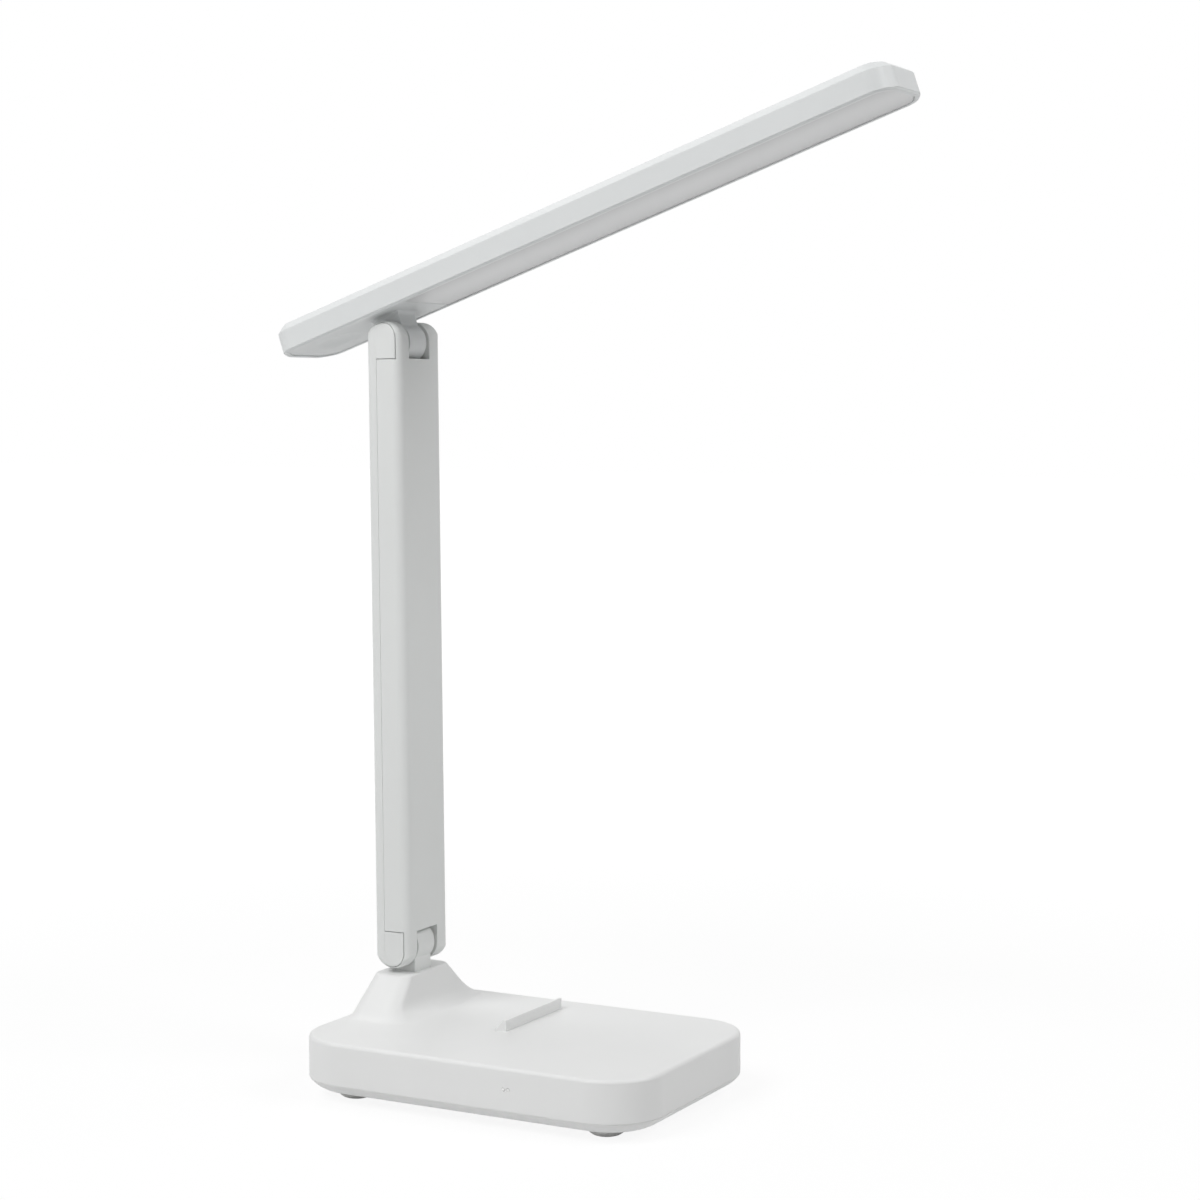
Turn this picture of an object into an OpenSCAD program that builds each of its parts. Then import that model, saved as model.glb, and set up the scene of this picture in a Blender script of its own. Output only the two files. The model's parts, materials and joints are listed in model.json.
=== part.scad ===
// Folding LED desk lamp.
// +X points forward, the way the head reaches; +Y is across the lamp; +Z is up.
// The origin is on the desk plane, under the centre of the base.
// The arm stands on a friction hinge near the back of the base, and the head turns on a second one.
// Both hinge axes lie along Y. Folded, the head lies on the arm and both lie down over the base.

/* [Base] */
// Length of the base, along X
base_l = 130; // [120:1:170]
// Width of the base, along Y
base_w = 90; // [84:1:120]
// Radius of the base's corners, seen from above
base_corner_r = 19; // [17:0.5:26]
// Height of the base's top face above the desk
base_top_z = 21; // [20:0.5:30]
// Radius along the upper edge of the base
base_edge_r = 1.4; // [0.6:0.1:2]
// Wall of the base's mouldings
base_wall = 2.2; // [1.8:0.1:2.6]
// Height of the parting line between top shell and tray
base_split_z = 6.9; // [6.4:0.1:8]

/* [Tray] */
// Height of the tray's underside above the desk
tray_z = 2.9; // [2:0.1:3.4]
// How far the tray's curved edge draws in under the parting line
tray_inset = 5.8; // [4:0.1:7]
// Radius of the arc of the tray's curved edge
tray_edge_r = 10; // [6:0.5:20]
// Thickness of the tray's floor
tray_floor = 2; // [1.6:0.1:2.4]
// Height of the locating lip above the parting line
lip_h = 1.6; // [1:0.1:2]
// Thickness of the locating lip
lip_t = 1.6; // [0.9:0.1:1.8]
// Gap between the lip and the shell's walls
lip_gap = 0.15; // [0.1:0.05:0.3]

/* [Feet and case screws] */
// Distance from the base's short sides to the centres of the feet
foot_from_end = 18; // [16:0.5:20]
// Distance from the base's long sides to the centres of the feet
foot_from_side = 14.9; // [13:0.1:17]
// Radius of a foot where it meets the desk
foot_r = 4.6; // [3.6:0.1:5]
// Radius of a foot where it meets the tray
foot_top_r = 7; // [5.4:0.1:7.2]
// Depth of the seat that holds a foot
foot_seat = 0.6; // [0.4:0.1:0.8]
// Radius of a foot's plug in its seat
foot_plug_r = 4.8; // [4.4:0.1:5.2]
// Clearance round a foot's plug
foot_play = 0.05; // [0.02:0.01:0.1]
// Radius of the posts that take the case screws
post_r = 3.2; // [2.9:0.1:3.6]
// Gap between the shell's posts and the tray
post_gap = 0.2; // [0.1:0.05:0.4]
// Radius of the screws' shanks
screw_r = 1.2; // [1:0.05:1.3]
// Radius of the screws' heads
screw_head_r = 2.3; // [2:0.05:2.4]
// Height of the screws' heads
screw_head_h = 1.5; // [1.2:0.1:1.7]
// Length of a case screw's shank
case_screw_l = 10; // [8:0.5:10.5]
// Clearance round a screw's thread in the piece it holds to
thread_play = 0.05; // [0.02:0.01:0.1]
// Clearance round a screw's shank in the piece it passes through
shank_play = 0.2; // [0.1:0.05:0.3]
// Clearance round and over a screw's head
head_play = 0.15; // [0.1:0.05:0.3]
// Depth left free beyond a screw's end
screw_end_gap = 0.5; // [0.3:0.1:1]

/* [Pedestal] */
// Distance from the back of the base to the lower hinge axis
hinge_from_back = 11.4; // [11.2:0.1:16]
// Distance from the far long side of the base to the middle of the arm
hinge_from_side = 30.8; // [30:0.1:36]
// Height of the lower hinge axis above the base's top face
hinge_h = 22.1; // [21:0.1:28]
// Drop from the lower hinge axis to the pedestal's top
pedestal_drop = 9; // [8.6:0.1:10]
// Pedestal's width along Y at its top
pedestal_top_w = 28.4; // [26:0.1:32]
// Pedestal's length along X at its foot
pedestal_foot_l = 18.6; // [17:0.1:20]
// Pedestal's width along Y at its foot
pedestal_foot_w = 56.2; // [44:0.1:57]
// Corner radius at the pedestal's top
pedestal_corner_r = 4.2; // [2:0.1:5]
// Corner radius at the pedestal's foot
pedestal_foot_r = 5.7; // [4:0.1:8]
// How much tighter the pedestal's far back corner is than the base's corner under it
pedestal_hug = 3; // [3:0.1:5]
// Radius round the rim of the pedestal's top
pedestal_rim_r = 0.7; // [0.3:0.1:1]
// Radius of the hollow flare in front of the pedestal and on its near side
flare_r = 6.5; // [3:0.1:7]
// Radius of the hollow flare on the pedestal's far side
flare_far_r = 2.4; // [1:0.1:2.4]

/* [Rest ridge] */
// Distance from the lower hinge axis to the ridge's upright face
ridge_from_hinge = 49; // [40:0.5:60]
// Length of the ridge across the base
ridge_w = 37.6; // [30:0.1:42]
// Height of the ridge above the base
ridge_h = 3.7; // [2:0.1:3.8]
// Width of the flat along the ridge's top
ridge_land = 1; // [0.6:0.1:1.6]
// Reach of the slope behind the ridge
ridge_slope = 3.6; // [2:0.1:6]

/* [Inside the base] */
// Distance from the base's short sides to the ballast plate
ballast_from_end = 27; // [25:0.5:34]
// Distance from the base's long sides to the ballast plate
ballast_from_side = 22; // [21:0.5:28]
// Thickness of the ballast plate
ballast_t = 4; // [2:0.1:4.5]
// Corner radius of the ballast plate
ballast_corner_r = 5; // [2:0.5:8]
// Length of the battery
battery_l = 56; // [40:1:58]
// Width of the battery
battery_w = 34; // [24:1:38]
// Thickness of the battery
battery_t = 6; // [4:0.1:6.6]
// Length of the control board
board_l = 32; // [26:0.5:34]
// Width of the control board
board_w = 20; // [16:0.5:22]
// Thickness of the circuit boards
board_t = 1.2; // [0.8:0.1:1.6]
// Gap between control board and battery
board_gap = 3; // [1:0.5:6]
// Distance from the near long side of the base to the control board
board_from_side = 21; // [20:0.5:26]
// Gap between the ballast plate and the control board
board_lift = 0.4; // [0.2:0.1:0.8]
// Gap between the control board and the back wall
board_back_gap = 0.4; // [0.2:0.1:1]
// Corner radius of the battery
battery_corner_r = 2; // [1:0.5:4]

/* [Charging socket] */
// Width of the socket's shell
socket_w = 8.94; // [8.9:0.01:9]
// Height of the socket's shell
socket_h = 3.2; // [3.1:0.05:3.3]
// Depth of the socket's shell
socket_l = 7.3; // [7:0.1:9]
// Sheet thickness of the socket's shell
socket_t = 0.3; // [0.25:0.01:0.35]
// How far the socket's mouth sits behind the base's wall
socket_recess = 0.6; // [0.3:0.1:1]
// Clearance round the socket in the base's wall
socket_gap = 0.15; // [0.1:0.05:0.3]
// Thickness of the socket's back wall
socket_back_t = 1; // [0.6:0.1:1.5]
// Distance from the socket's mouth to its tongue
socket_tongue_in = 1; // [0.6:0.1:1.5]
// Width of the socket's tongue
socket_tongue_w = 6.7; // [6.4:0.1:6.8]
// Thickness of the socket's tongue
socket_tongue_t = 0.7; // [0.6:0.05:0.8]

/* [Charge lights] */
// Distance from the front end of the base to the charge lights
lights_from_end = 46.2; // [30:0.1:60]
// Height of the charge lights above the parting line
lights_h = 7; // [4:0.1:9]
// Distance between the two charge lights
lights_pitch = 1.7; // [1.5:0.05:4]
// Radius of a charge light
light_r = 0.5; // [0.3:0.05:0.6]
// Length of the block behind the wall that carries the charge lights
light_block_l = 6; // [4:0.5:10]
// Depth and height of that block
light_block_w = 3; // [2:0.5:4]
// How far the board behind the charge lights stands out round their block
light_board_rim = 1; // [0.5:0.1:2]

/* [Arm] */
// Distance between the two hinge axes
arm_pitch = 207; // [150:1:260]
// Depth of the arm, along X
arm_d = 14.2; // [13.8:0.1:15]
// Width of the arm, along Y
arm_w = 26.2; // [25:0.1:30]
// Radius along the arm's edges
arm_edge_r = 3.1; // [1.5:0.1:3.6]
// Radius of the arm's round ends, seen from the side
arm_round_r = 6.8; // [5.4:0.1:6.8]
// Radius along the side edges of the arm's round ends
arm_rim_r = 1.8; // [0.8:0.1:2.4]
// Wall of the arm's two shells
arm_wall = 1.8; // [1.4:0.1:2]
// Distance from the hinge plane back to the seam of the two shells
arm_seam = 2.6; // [2.3:0.1:3]
// Width of the fine groove along the seam
seam_w = 0.2; // [0.1:0.05:0.4]
// Depth of the fine groove along the seam
seam_t = 0.1; // [0.05:0.05:0.3]
// Lean of the arm in this pose, negative to the back
arm_lean = -0.57; // [-5:0.01:0]
// Radius of the lead inside the arm
lead_r = 1.3; // [0.8:0.1:1.6]
// Clearance round the lead
lead_gap = 0.2; // [0.1:0.05:0.4]

/* [Hinges] */
// Radius of the hinge bolts
bolt_r = 2; // [1.5:0.1:2.2]
// Running clearance between a bolt and what turns on it
bolt_play = 0.05; // [0.02:0.01:0.1]
// How far the hinge slots sit from the middle of the arm, negative to the near side
slot_shift = -1.05; // [-1.2:0.05:1.2]
// How far the round knuckles stay inside the arm's ends
knuckle_inset = 0.3; // [0.2:0.05:0.6]
// Width of the knuckles
knuckle_w = 10.4; // [9:0.1:11]
// Thickness of the friction washers
washer_t = 1.2; // [0.8:0.05:1.2]
// How far the friction washers stay inside the arm's ends
washer_inset = 1.1; // [0.6:0.1:2.4]
// Side clearance at each face of a washer
washer_gap = 0.05; // [0.03:0.01:0.1]
// Gap between a knuckle and the round bottom of its slot
knuckle_gap = 0.4; // [0.35:0.05:0.5]
// How much less than half the arm's depth the slots' flat bottoms lie behind the hinge axis
slot_rise = 1.5; // [1.3:0.1:1.7]
// How far the tongues that carry the knuckles stay inside the arm's faces
tongue_inset = 1.9; // [1.9:0.1:2.6]
// Gap round the tongue where it enters the pedestal
tongue_gap = 0.05; // [0.05:0.05:0.4]
// Height of the bolt heads and nuts
bolt_head_h = 2.2; // [2:0.1:2.6]
// Radius of the bolt heads
bolt_head_r = 3.5; // [3:0.1:3.8]
// Radius over the corners of the hexagon nuts
nut_r = 4; // [3.4:0.05:4.2]
// Radius of the pockets for bolt heads and nuts
pocket_r = 4.4; // [4.25:0.05:4.6]
// Gap between a bolt head and the cap over it
pocket_gap = 0.2; // [0.1:0.05:0.4]
// Radius over the corners of the bolts' hexagon sockets
hex_r = 1.4; // [1:0.1:1.6]
// Depth of the bolts' hexagon sockets
hex_t = 1.2; // [0.8:0.1:1.5]

/* [Hinge caps] */
// How far a cap stays inside the arm's front
cap_inset = 2.2; // [1.8:0.1:2.4]
// How far a cap's straight end lies inside half the arm's depth, measured from the hinge axis
cap_tail_inset = 1.5; // [0.2:0.1:2]
// Distance from the hinge axis to the centre of a cap's round end
cap_nose = 1.5; // [1:0.1:1.6]
// Thickness of a cap
cap_t = 1.8; // [1.7:0.1:1.9]
// Gap round a cap
cap_gap = 0.2; // [0.1:0.05:0.3]
// Gap between a cap and the back shell at the seam
cap_seam_gap = 0.05; // [0.02:0.01:0.1]

/* [Hinge bracket] */
// Width of the bracket's flange inside the pedestal
flange_w = 28; // [26:0.5:30]
// Thickness of the bracket's flange
flange_t = 3; // [2.4:0.1:3.6]
// Distance from the pedestal's top to the bracket's flange
flange_drop = 11; // [10:0.5:12]
// Distance from the middle of the arm to each bracket screw
flange_screw_y = 10; // [9.6:0.1:10.4]
// Radius of the bosses for the bracket screws
boss_r = 2.8; // [2.4:0.1:3]
// Length of a bracket screw's shank
bracket_screw_l = 8; // [6:0.5:9]

/* [Head] */
// Distance from the upper hinge axis back to the head's tail
head_back = 41.2; // [36:0.1:50]
// Distance from the upper hinge axis forward to the head's tip
head_front = 198.4; // [140:0.1:198.6]
// Width of the head
head_w = 33.5; // [30:0.1:40]
// Length that each cut corner takes off the head's sides
corner_cut_l = 3.55; // [3:0.05:5]
// Length that each cut corner takes off the head's ends
corner_cut_w = 7.8; // [5:0.1:8.4]
// Radius that rounds the cut corners
head_corner_r = 6.7; // [5:0.1:7]
// Distance from the upper hinge axis up to the head's lowest face
head_lift = 9.2; // [9:0.1:11]
// Height of the rim that shows under the housing
rim_h = 0.66; // [0.4:0.02:1]
// How far that rim sits in from the housing's sides
rim_inset = 0.54; // [0.3:0.02:0.8]
// Height of the housing's upright sides
side_h = 6.8; // [6.4:0.1:9]
// Height of the housing's sloped upper edge
crown_h = 2.64; // [2:0.02:3.2]
// How far the sloped upper edge draws in
crown_inset = 2.9; // [2:0.1:3.4]
// Wall of the housing
head_wall = 1.2; // [0.9:0.05:1.3]
// Thickness of the housing's top
head_top = 1.6; // [1.2:0.1:2]
// How far the hollow stays clear of the housing's shoulder and slope
crown_wall = 0.3; // [0.2:0.1:0.6]
// Tilt of the head above square with the arm in this pose
head_tilt = 18.75; // [0:0.05:60]

/* [Head underside] */
// Thickness of the cover's rim
cover_rim = 0.75; // [0.5:0.05:1]
// Clearance between cover and housing
cover_gap = 0.1; // [0.05:0.05:0.2]
// Depth of the panel behind the rim's face
panel_recess = 0.3; // [0.1:0.05:0.5]
// Thickness of the cover's tail panel
panel_t = 2.2; // [2:0.1:2.6]
// Distance from the upper hinge axis to the start of the diffuser
diffuser_start = 13; // [11:0.5:20]
// Thickness of the diffuser
diffuser_t = 1.6; // [1.2:0.1:1.8]
// Thickness of the ledge behind the diffuser
ledge_t = 2; // [1.6:0.1:2.2]
// Width of the ledge along the diffuser's sides
ledge_w = 1.6; // [1.2:0.1:2]
// Length of the ledge at the diffuser's ends
ledge_l = 9; // [8:0.5:12]
// Radius of the collar that blends the neck into the underside
collar_r = 1.6; // [0.8:0.1:1.8]
// Length of a head screw's shank
head_screw_l = 5; // [4:0.25:5.25]
// Distance from the middle of the head to its screws
head_screw_y = 7; // [6:0.5:9]
// Radius of the posts for the head's screws
head_post_r = 2.4; // [2.2:0.1:3]

/* [Touch switch] */
// Distance from the upper hinge axis back to the touch dish
dish_back = 24; // [20:0.5:27]
// Radius of the touch dish
dish_r = 8.5; // [6:0.1:9.5]
// Depth of the touch dish
dish_t = 1.1; // [0.6:0.1:1.3]
// Radius of the sensing pad behind the dish
pad_r = 6; // [4:0.1:7]
// Thickness of the sensing pad
pad_t = 0.4; // [0.2:0.05:0.6]
// Length of the touch board
touch_board_l = 22; // [16:0.5:24]
// Width of the touch board
touch_board_w = 18; // [14:0.5:22]

/* [Light source] */
// Distance from the diffuser's ends to the LED board
led_board_from_end = 11; // [10:0.5:20]
// Width of the LED board
led_board_w = 22; // [16:0.5:24]
// Length of an LED
led_l = 3.5; // [2.8:0.1:3.6]
// Width of an LED
led_w = 2.8; // [2:0.1:3]
// Height of an LED
led_t = 0.8; // [0.5:0.05:1]
// Pitch of the LEDs along the board
led_pitch = 11; // [8:0.5:20]
// Distance between the two rows of LEDs
led_row = 10; // [6:0.5:14]

/* [Hidden] */

// Smoothness of round shapes, and of the outlines inside hulls
$fn = 64;
hull_fn = 40;
// Overlap that fuses shapes of one piece, and overrun of cuts past a face
fuse = 0.4;
over = 1;
// Thickness of the slices that hulls run between
slice_t = 0.01;
// Steps of the pedestal's flare, and of each of its corners
flare_steps = 8;
corner_steps = 10;
// Cross slots of the screws: length, width and depth
cross_l = 2.8;
cross_w = 0.5;
cross_t = 0.45;

plastic = "#e4e5e4";
cap_plastic = "#dfe0df";
rubber = "#d3d3d0";
steel = "#9aa0a6";
nylon = "#cfcfcc";
copper = "#b87a4b";
circuit_green = "#2f6b46";
foil = "#b9bcc2";
lead_white = "#d9d9d9";
light_panel = "#f3f3ee";
board_white = "#f2f2f0";
led_yellow = "#f0dc8c";

// Lower hinge axis
hinge_x = -base_l / 2 + hinge_from_back;
hinge_y = base_w / 2 - hinge_from_side;
hinge_z = base_top_z + hinge_h;

// Heights in the base
tray_top_z = tray_z + tray_floor;
ceiling_z = base_top_z - base_wall;
pedestal_top_z = hinge_z - pedestal_drop;
foot_seat_z = tray_z + foot_seat;
case_head_top_z = foot_seat_z + screw_head_h + head_play;
post_foot_z = base_split_z + post_gap;
ballast_top_z = tray_top_z + ballast_t;
board_z = ballast_top_z + board_lift;
socket_z = board_z + board_t + socket_h / 2;

// Places in the base
socket_y = -base_w / 2 + board_from_side + board_w / 2;
foot_x = base_l / 2 - foot_from_end;
foot_y = base_w / 2 - foot_from_side;
board_x = -base_l / 2 + base_wall + board_back_gap;
battery_x = board_x + board_l + board_gap;

// Pedestal: height, and how much each face draws in per height
pedestal_top_l = arm_d;
pedestal_h = hinge_h - pedestal_drop;
slope_x = (pedestal_foot_l - pedestal_top_l) / 2 / pedestal_h;
slope_y = (pedestal_foot_w - pedestal_top_w) / 2 / pedestal_h;
far_back_r = base_corner_r - pedestal_hug;

// Lip between tray and shell: outer corner radius, and its sizes along X and Y
lip_corner_r = base_corner_r - base_wall - lip_gap;
lip_l = base_l - 2 * (base_wall + lip_gap);
lip_w = base_w - 2 * (base_wall + lip_gap);

// Hinges
knuckle_y = hinge_y + slot_shift;
knuckle_r = arm_d / 2 - knuckle_inset;
washer_r = arm_d / 2 - washer_inset;
tongue_half = arm_d / 2 - tongue_inset;
slot_depth = arm_d / 2 - slot_rise;
cap_half = arm_d / 2 - cap_inset;
cap_tail = arm_d / 2 - cap_tail_inset;
play_r = bolt_r + bolt_play;
slot_half = knuckle_w / 2 + washer_t + 2 * washer_gap;
slot_round_r = knuckle_r + knuckle_gap;
ear_out = arm_w / 2;
pocket_y = ear_out - cap_t - pocket_gap - bolt_head_h;
flange_z = pedestal_top_z - flange_drop;

// Heights in the head, measured from the upper hinge axis
housing_z = head_lift + rim_h;
shoulder_z = housing_z + side_h;
crown_z = shoulder_z + crown_h;
head_ceiling_z = crown_z - head_top;
panel_z = head_lift + panel_recess;
panel_top_z = panel_z + panel_t;
ledge_z = panel_z + diffuser_t + cover_gap;
cover_top_z = ledge_z + ledge_t;
led_board_z = head_ceiling_z - board_t - slice_t;

// Outline of the head
head_mid_x = (head_front - head_back) / 2;
head_half_l = (head_front + head_back) / 2;
head_half_w = head_w / 2;
cut_len = norm([corner_cut_l, corner_cut_w]);
side_corner = [
    head_half_l - corner_cut_l - head_corner_r * (cut_len - corner_cut_l) / corner_cut_w,
    head_half_w - head_corner_r
];
end_corner = [
    head_half_l - head_corner_r,
    head_half_w - corner_cut_w - head_corner_r * (cut_len - corner_cut_w) / corner_cut_l
];
cut_normal = [corner_cut_w, corner_cut_l] / cut_len;
rim_in = cover_gap + head_wall + cover_rim;
head_screw_x = [diffuser_start + ledge_l / 2, head_front - rim_in - ledge_l / 2];
led_board_x0 = diffuser_start + led_board_from_end;
led_board_x1 = head_front - rim_in - led_board_from_end;

// ---------- Shared shapes ----------

// A rectangle with true round corners, centred
module round_rect(l, w, r) {
    square([l - 2 * r, w], center = true);
    square([l, w - 2 * r], center = true);
    for (x = [-1, 1], y = [-1, 1])
        translate([x * (l / 2 - r), y * (w / 2 - r)]) circle(r);
}

// A plate with round corners from height z0 to z1
module round_plate(l, w, r, z0, z1) {
    translate([0, 0, z0]) linear_extrude(z1 - z0) round_rect(l, w, r);
}

// A block of the base's outline from height z0 to z1 whose edge follows the child:
// half a section through a corner, from the corner's centre outwards
module base_block(z0, z1) {
    straight_l = base_l - 2 * base_corner_r;
    straight_w = base_w - 2 * base_corner_r;
    for (q = [[1, 1, 0], [-1, 1, 90], [-1, -1, 180], [1, -1, 270]])
        translate([q.x * straight_l / 2, q.y * straight_w / 2, 0]) rotate([0, 0, q.z])
            rotate_extrude(angle = 90) children();
    translate([-straight_l / 2, 0, 0]) rotate([90, 0, 90]) linear_extrude(straight_l)
        both_sides(straight_w, z0, z1) children();
    translate([0, straight_w / 2, 0]) rotate([90, 0, 0]) linear_extrude(straight_w)
        both_sides(straight_l, z0, z1) children();
}

// A half section and its mirror image, a width w apart, with the space between them filled
module both_sides(w, z0, z1) {
    for (s = [0, 1]) mirror([s, 0]) translate([w / 2, 0]) children();
    translate([-w / 2, z0]) square([w, z1 - z0]);
}

// One solid at each of the four feet
module at_feet() {
    for (x = [-foot_x, foot_x], y = [-foot_y, foot_y]) translate([x, y, 0]) children();
}

// The two bracket screws' places, from the lower hinge axis's foot point
module at_bracket_screws() {
    for (y = [-flange_screw_y, flange_screw_y]) translate([hinge_x, knuckle_y + y, 0]) children();
}

// The arm's own frame: the lower hinge axis at the origin, the arm along +Z
module place_arm() {
    translate([hinge_x, hinge_y, hinge_z]) rotate([0, arm_lean, 0]) children();
}

// The head's own frame: the upper hinge axis at the origin, the head along +X
module place_head() {
    place_arm() translate([0, 0, arm_pitch]) rotate([0, -head_tilt, 0]) children();
}

// A cylinder along Y, centred
module across(r, w) {
    rotate([90, 0, 0]) cylinder(r = r, h = w, center = true);
}

// A ring along Y from y0 to y1
module across_from(r, y0, y1) {
    translate([0, y1, 0]) rotate([90, 0, 0]) cylinder(r = r, h = y1 - y0);
}

// ---------- Base ----------

// Outside of the base above the parting line
module shell_body() {
    base_block(base_split_z, base_top_z) {
        translate([0, base_split_z]) {
            square([base_corner_r, base_top_z - base_edge_r - base_split_z]);
            square([base_corner_r - base_edge_r, base_top_z - base_split_z]);
        }
        translate([base_corner_r - base_edge_r, base_top_z - base_edge_r]) circle(base_edge_r);
    }
}

// Outside of the base below the parting line: the edge draws in along an arc
module tray_body() {
    drop = base_split_z - tray_z;
    chord = norm([tray_inset, drop]);
    mid = [base_corner_r - tray_inset / 2, tray_z + drop / 2];
    centre = mid + [-drop, tray_inset] / chord * sqrt(tray_edge_r ^ 2 - (chord / 2) ^ 2);
    base_block(tray_z, base_split_z) {
        translate([0, tray_z]) square([base_corner_r - tray_inset, drop]);
        intersection() {
            translate([0, tray_z]) square([base_corner_r, drop]);
            translate(centre) circle(tray_edge_r);
        }
    }
}

// Reach of a hollow flare of radius r beyond a face of the given slope, at height h above the base
function flare(r, slope, h) =
    h < r * (1 - sin(atan(slope)))
        ? r * tan(45 - atan(slope) / 2) - sqrt(2 * r * h - h * h) + slope * h
        : 0;

// Points along a quarter circle of radius r about [x, y], from the angle a
function corner(x, y, r, a) =
    [for (i = [0 : corner_steps]) let (b = a + 90 * i / corner_steps) [x, y] + r * [cos(b), sin(b)]];

// Radius of a pedestal corner at height h that is r at the foot
function corner_r(r, h) = r + (pedestal_corner_r - r) * h / pedestal_h;

// Outline of the pedestal at height h above the base, drawn in by d; flared is 1 or 0
function section(h, d, flared) =
    let (
        reach_front = flared * flare(flare_r, slope_x, h),
        reach_near = flared * flare(flare_r, slope_y, h),
        reach_far = flared * flare(flare_far_r, slope_y, h),
        half_l = pedestal_foot_l / 2 - slope_x * h - d,
        half_w = pedestal_foot_w / 2 - slope_y * h - d,
        front = half_l + reach_front,
        near = half_w + reach_near,
        far = half_w + reach_far,
        back_near_r = corner_r(pedestal_foot_r, h) - d,
        front_near_r = back_near_r + min(reach_front, reach_near),
        front_far_r = back_near_r + min(reach_front, reach_far),
        back_far_r = min(corner_r(far_back_r, h) - d, front + half_l - front_far_r - pedestal_rim_r)
    )
    concat(
        corner(front - front_far_r, far - front_far_r, front_far_r, 0),
        corner(back_far_r - half_l, far - back_far_r, back_far_r, 90),
        corner(back_near_r - half_l, back_near_r - near, back_near_r, 180),
        corner(front - front_near_r, front_near_r - near, front_near_r, 270)
    );

// A solid through the pedestal's outlines; each level is its height and how far it is drawn in
module pedestal(levels, flared) {
    n = 4 * (corner_steps + 1);
    last = len(levels) - 1;
    translate([hinge_x, hinge_y, base_top_z]) polyhedron(
        points = [for (l = levels) for (p = section(max(l[0], 0), l[1], flared)) [p.x, p.y, l[0]]],
        faces = concat(
            [[for (i = [0 : n - 1]) i]],
            [[for (i = [n - 1 : -1 : 0]) last * n + i]],
            [for (j = [0 : n : last * n - 1], i = [0 : n - 1]) [j + i, j + n + i, j + n + (i + 1) % n]],
            [for (j = [0 : n : last * n - 1], i = [0 : n - 1]) [j + i, j + n + (i + 1) % n, j + (i + 1) % n]]
        )
    );
}

// Outside of the pedestal: hollow flare at its foot, round rim at its top
module pedestal_body() {
    face_angle = 90 - atan(slope_x);
    pedestal(concat(
        [[-fuse, 0]],
        [for (i = [0 : flare_steps]) [flare_r * (1 - cos(face_angle * i / flare_steps)), 0]],
        [for (a = [0 : 30 : 90]) [pedestal_h - pedestal_rim_r * (1 - sin(a)), pedestal_rim_r * (1 - cos(a))]]
    ), 1);
}

// Hollow inside the pedestal, open downwards into the base
module pedestal_hollow() {
    pedestal([
        [-base_wall - fuse, base_wall], [0, base_wall], [pedestal_h - base_wall, base_wall]
    ], 0);
}

// Low ridge on which the folded head rests: upright in front, sloped behind
module rest_ridge() {
    translate([hinge_x + ridge_from_hinge, hinge_y + ridge_w / 2, base_top_z])
        rotate([90, 0, 0]) linear_extrude(ridge_w)
            polygon([[0, -fuse], [0, ridge_h], [-ridge_land, ridge_h],
                     [-ridge_land - ridge_slope, 0], [-ridge_land - ridge_slope, -fuse]]);
}

// Hollow of the shell, with the posts and bosses left standing in it
module shell_hollow() {
    difference() {
        union() {
            round_plate(base_l - 2 * base_wall, base_w - 2 * base_wall,
                        base_corner_r - base_wall, base_split_z - over, ceiling_z);
            pedestal_hollow();
        }
        at_feet() translate([0, 0, post_foot_z]) cylinder(r = post_r, h = base_top_z);
        at_bracket_screws() translate([0, 0, flange_z]) cylinder(r = boss_r, h = flange_drop);
    }
}

module base_shell() {
    case_hole_z = case_head_top_z + case_screw_l + screw_end_gap;
    bracket_hole_z = flange_z - flange_t + screw_head_h + bracket_screw_l + screw_end_gap;
    color(plastic) difference() {
        union() {
            shell_body();
            pedestal_body();
            rest_ridge();
        }
        shell_hollow();
        at_feet() translate([0, 0, post_foot_z - over])
            cylinder(r = screw_r + thread_play, h = case_hole_z - post_foot_z + over);
        at_bracket_screws() translate([0, 0, flange_z - over])
            cylinder(r = screw_r + thread_play, h = bracket_hole_z - flange_z + over);
        translate([hinge_x - tongue_half - tongue_gap, knuckle_y - knuckle_w / 2 - tongue_gap,
                   pedestal_top_z - base_wall - over])
            cube([2 * (tongue_half + tongue_gap), knuckle_w + 2 * tongue_gap, base_wall + 2 * over]);
        at_charge_lights() translate([0, over, 0]) rotate([90, 0, 0])
            cylinder(r = light_r + thread_play, h = base_wall + 3 * over);
        translate([-base_l / 2 - over, socket_y - socket_w / 2 - socket_gap,
                   socket_z - socket_h / 2 - socket_gap])
            cube([base_wall + 2 * over, socket_w + 2 * socket_gap, socket_h + 2 * socket_gap]);
    }
}

module base_tray() {
    color(plastic) difference() {
        union() {
            tray_body();
            difference() {
                round_plate(lip_l, lip_w, lip_corner_r, base_split_z - fuse, base_split_z + lip_h);
                round_plate(lip_l - 2 * lip_t, lip_w - 2 * lip_t, lip_corner_r - lip_t,
                            base_split_z - over, base_split_z + lip_h + over);
            }
        }
        difference() {
            round_plate(lip_l - 2 * lip_t, lip_w - 2 * lip_t, lip_corner_r - lip_t,
                        tray_top_z, base_split_z + over);
            at_feet() cylinder(r = post_r, h = base_split_z + 2 * over);
        }
        at_feet() {
            translate([0, 0, tray_z - over]) cylinder(r = foot_plug_r + foot_play, h = foot_seat + over);
            cylinder(r = screw_head_r + head_play, h = case_head_top_z);
            cylinder(r = screw_r + shank_play, h = post_foot_z);
        }
    }
}

module base_feet() {
    color(rubber) at_feet() {
        cylinder(r1 = foot_r, r2 = foot_top_r, h = tray_z);
        translate([0, 0, tray_z - slice_t]) cylinder(r = foot_plug_r, h = foot_seat - foot_play);
    }
}

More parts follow.
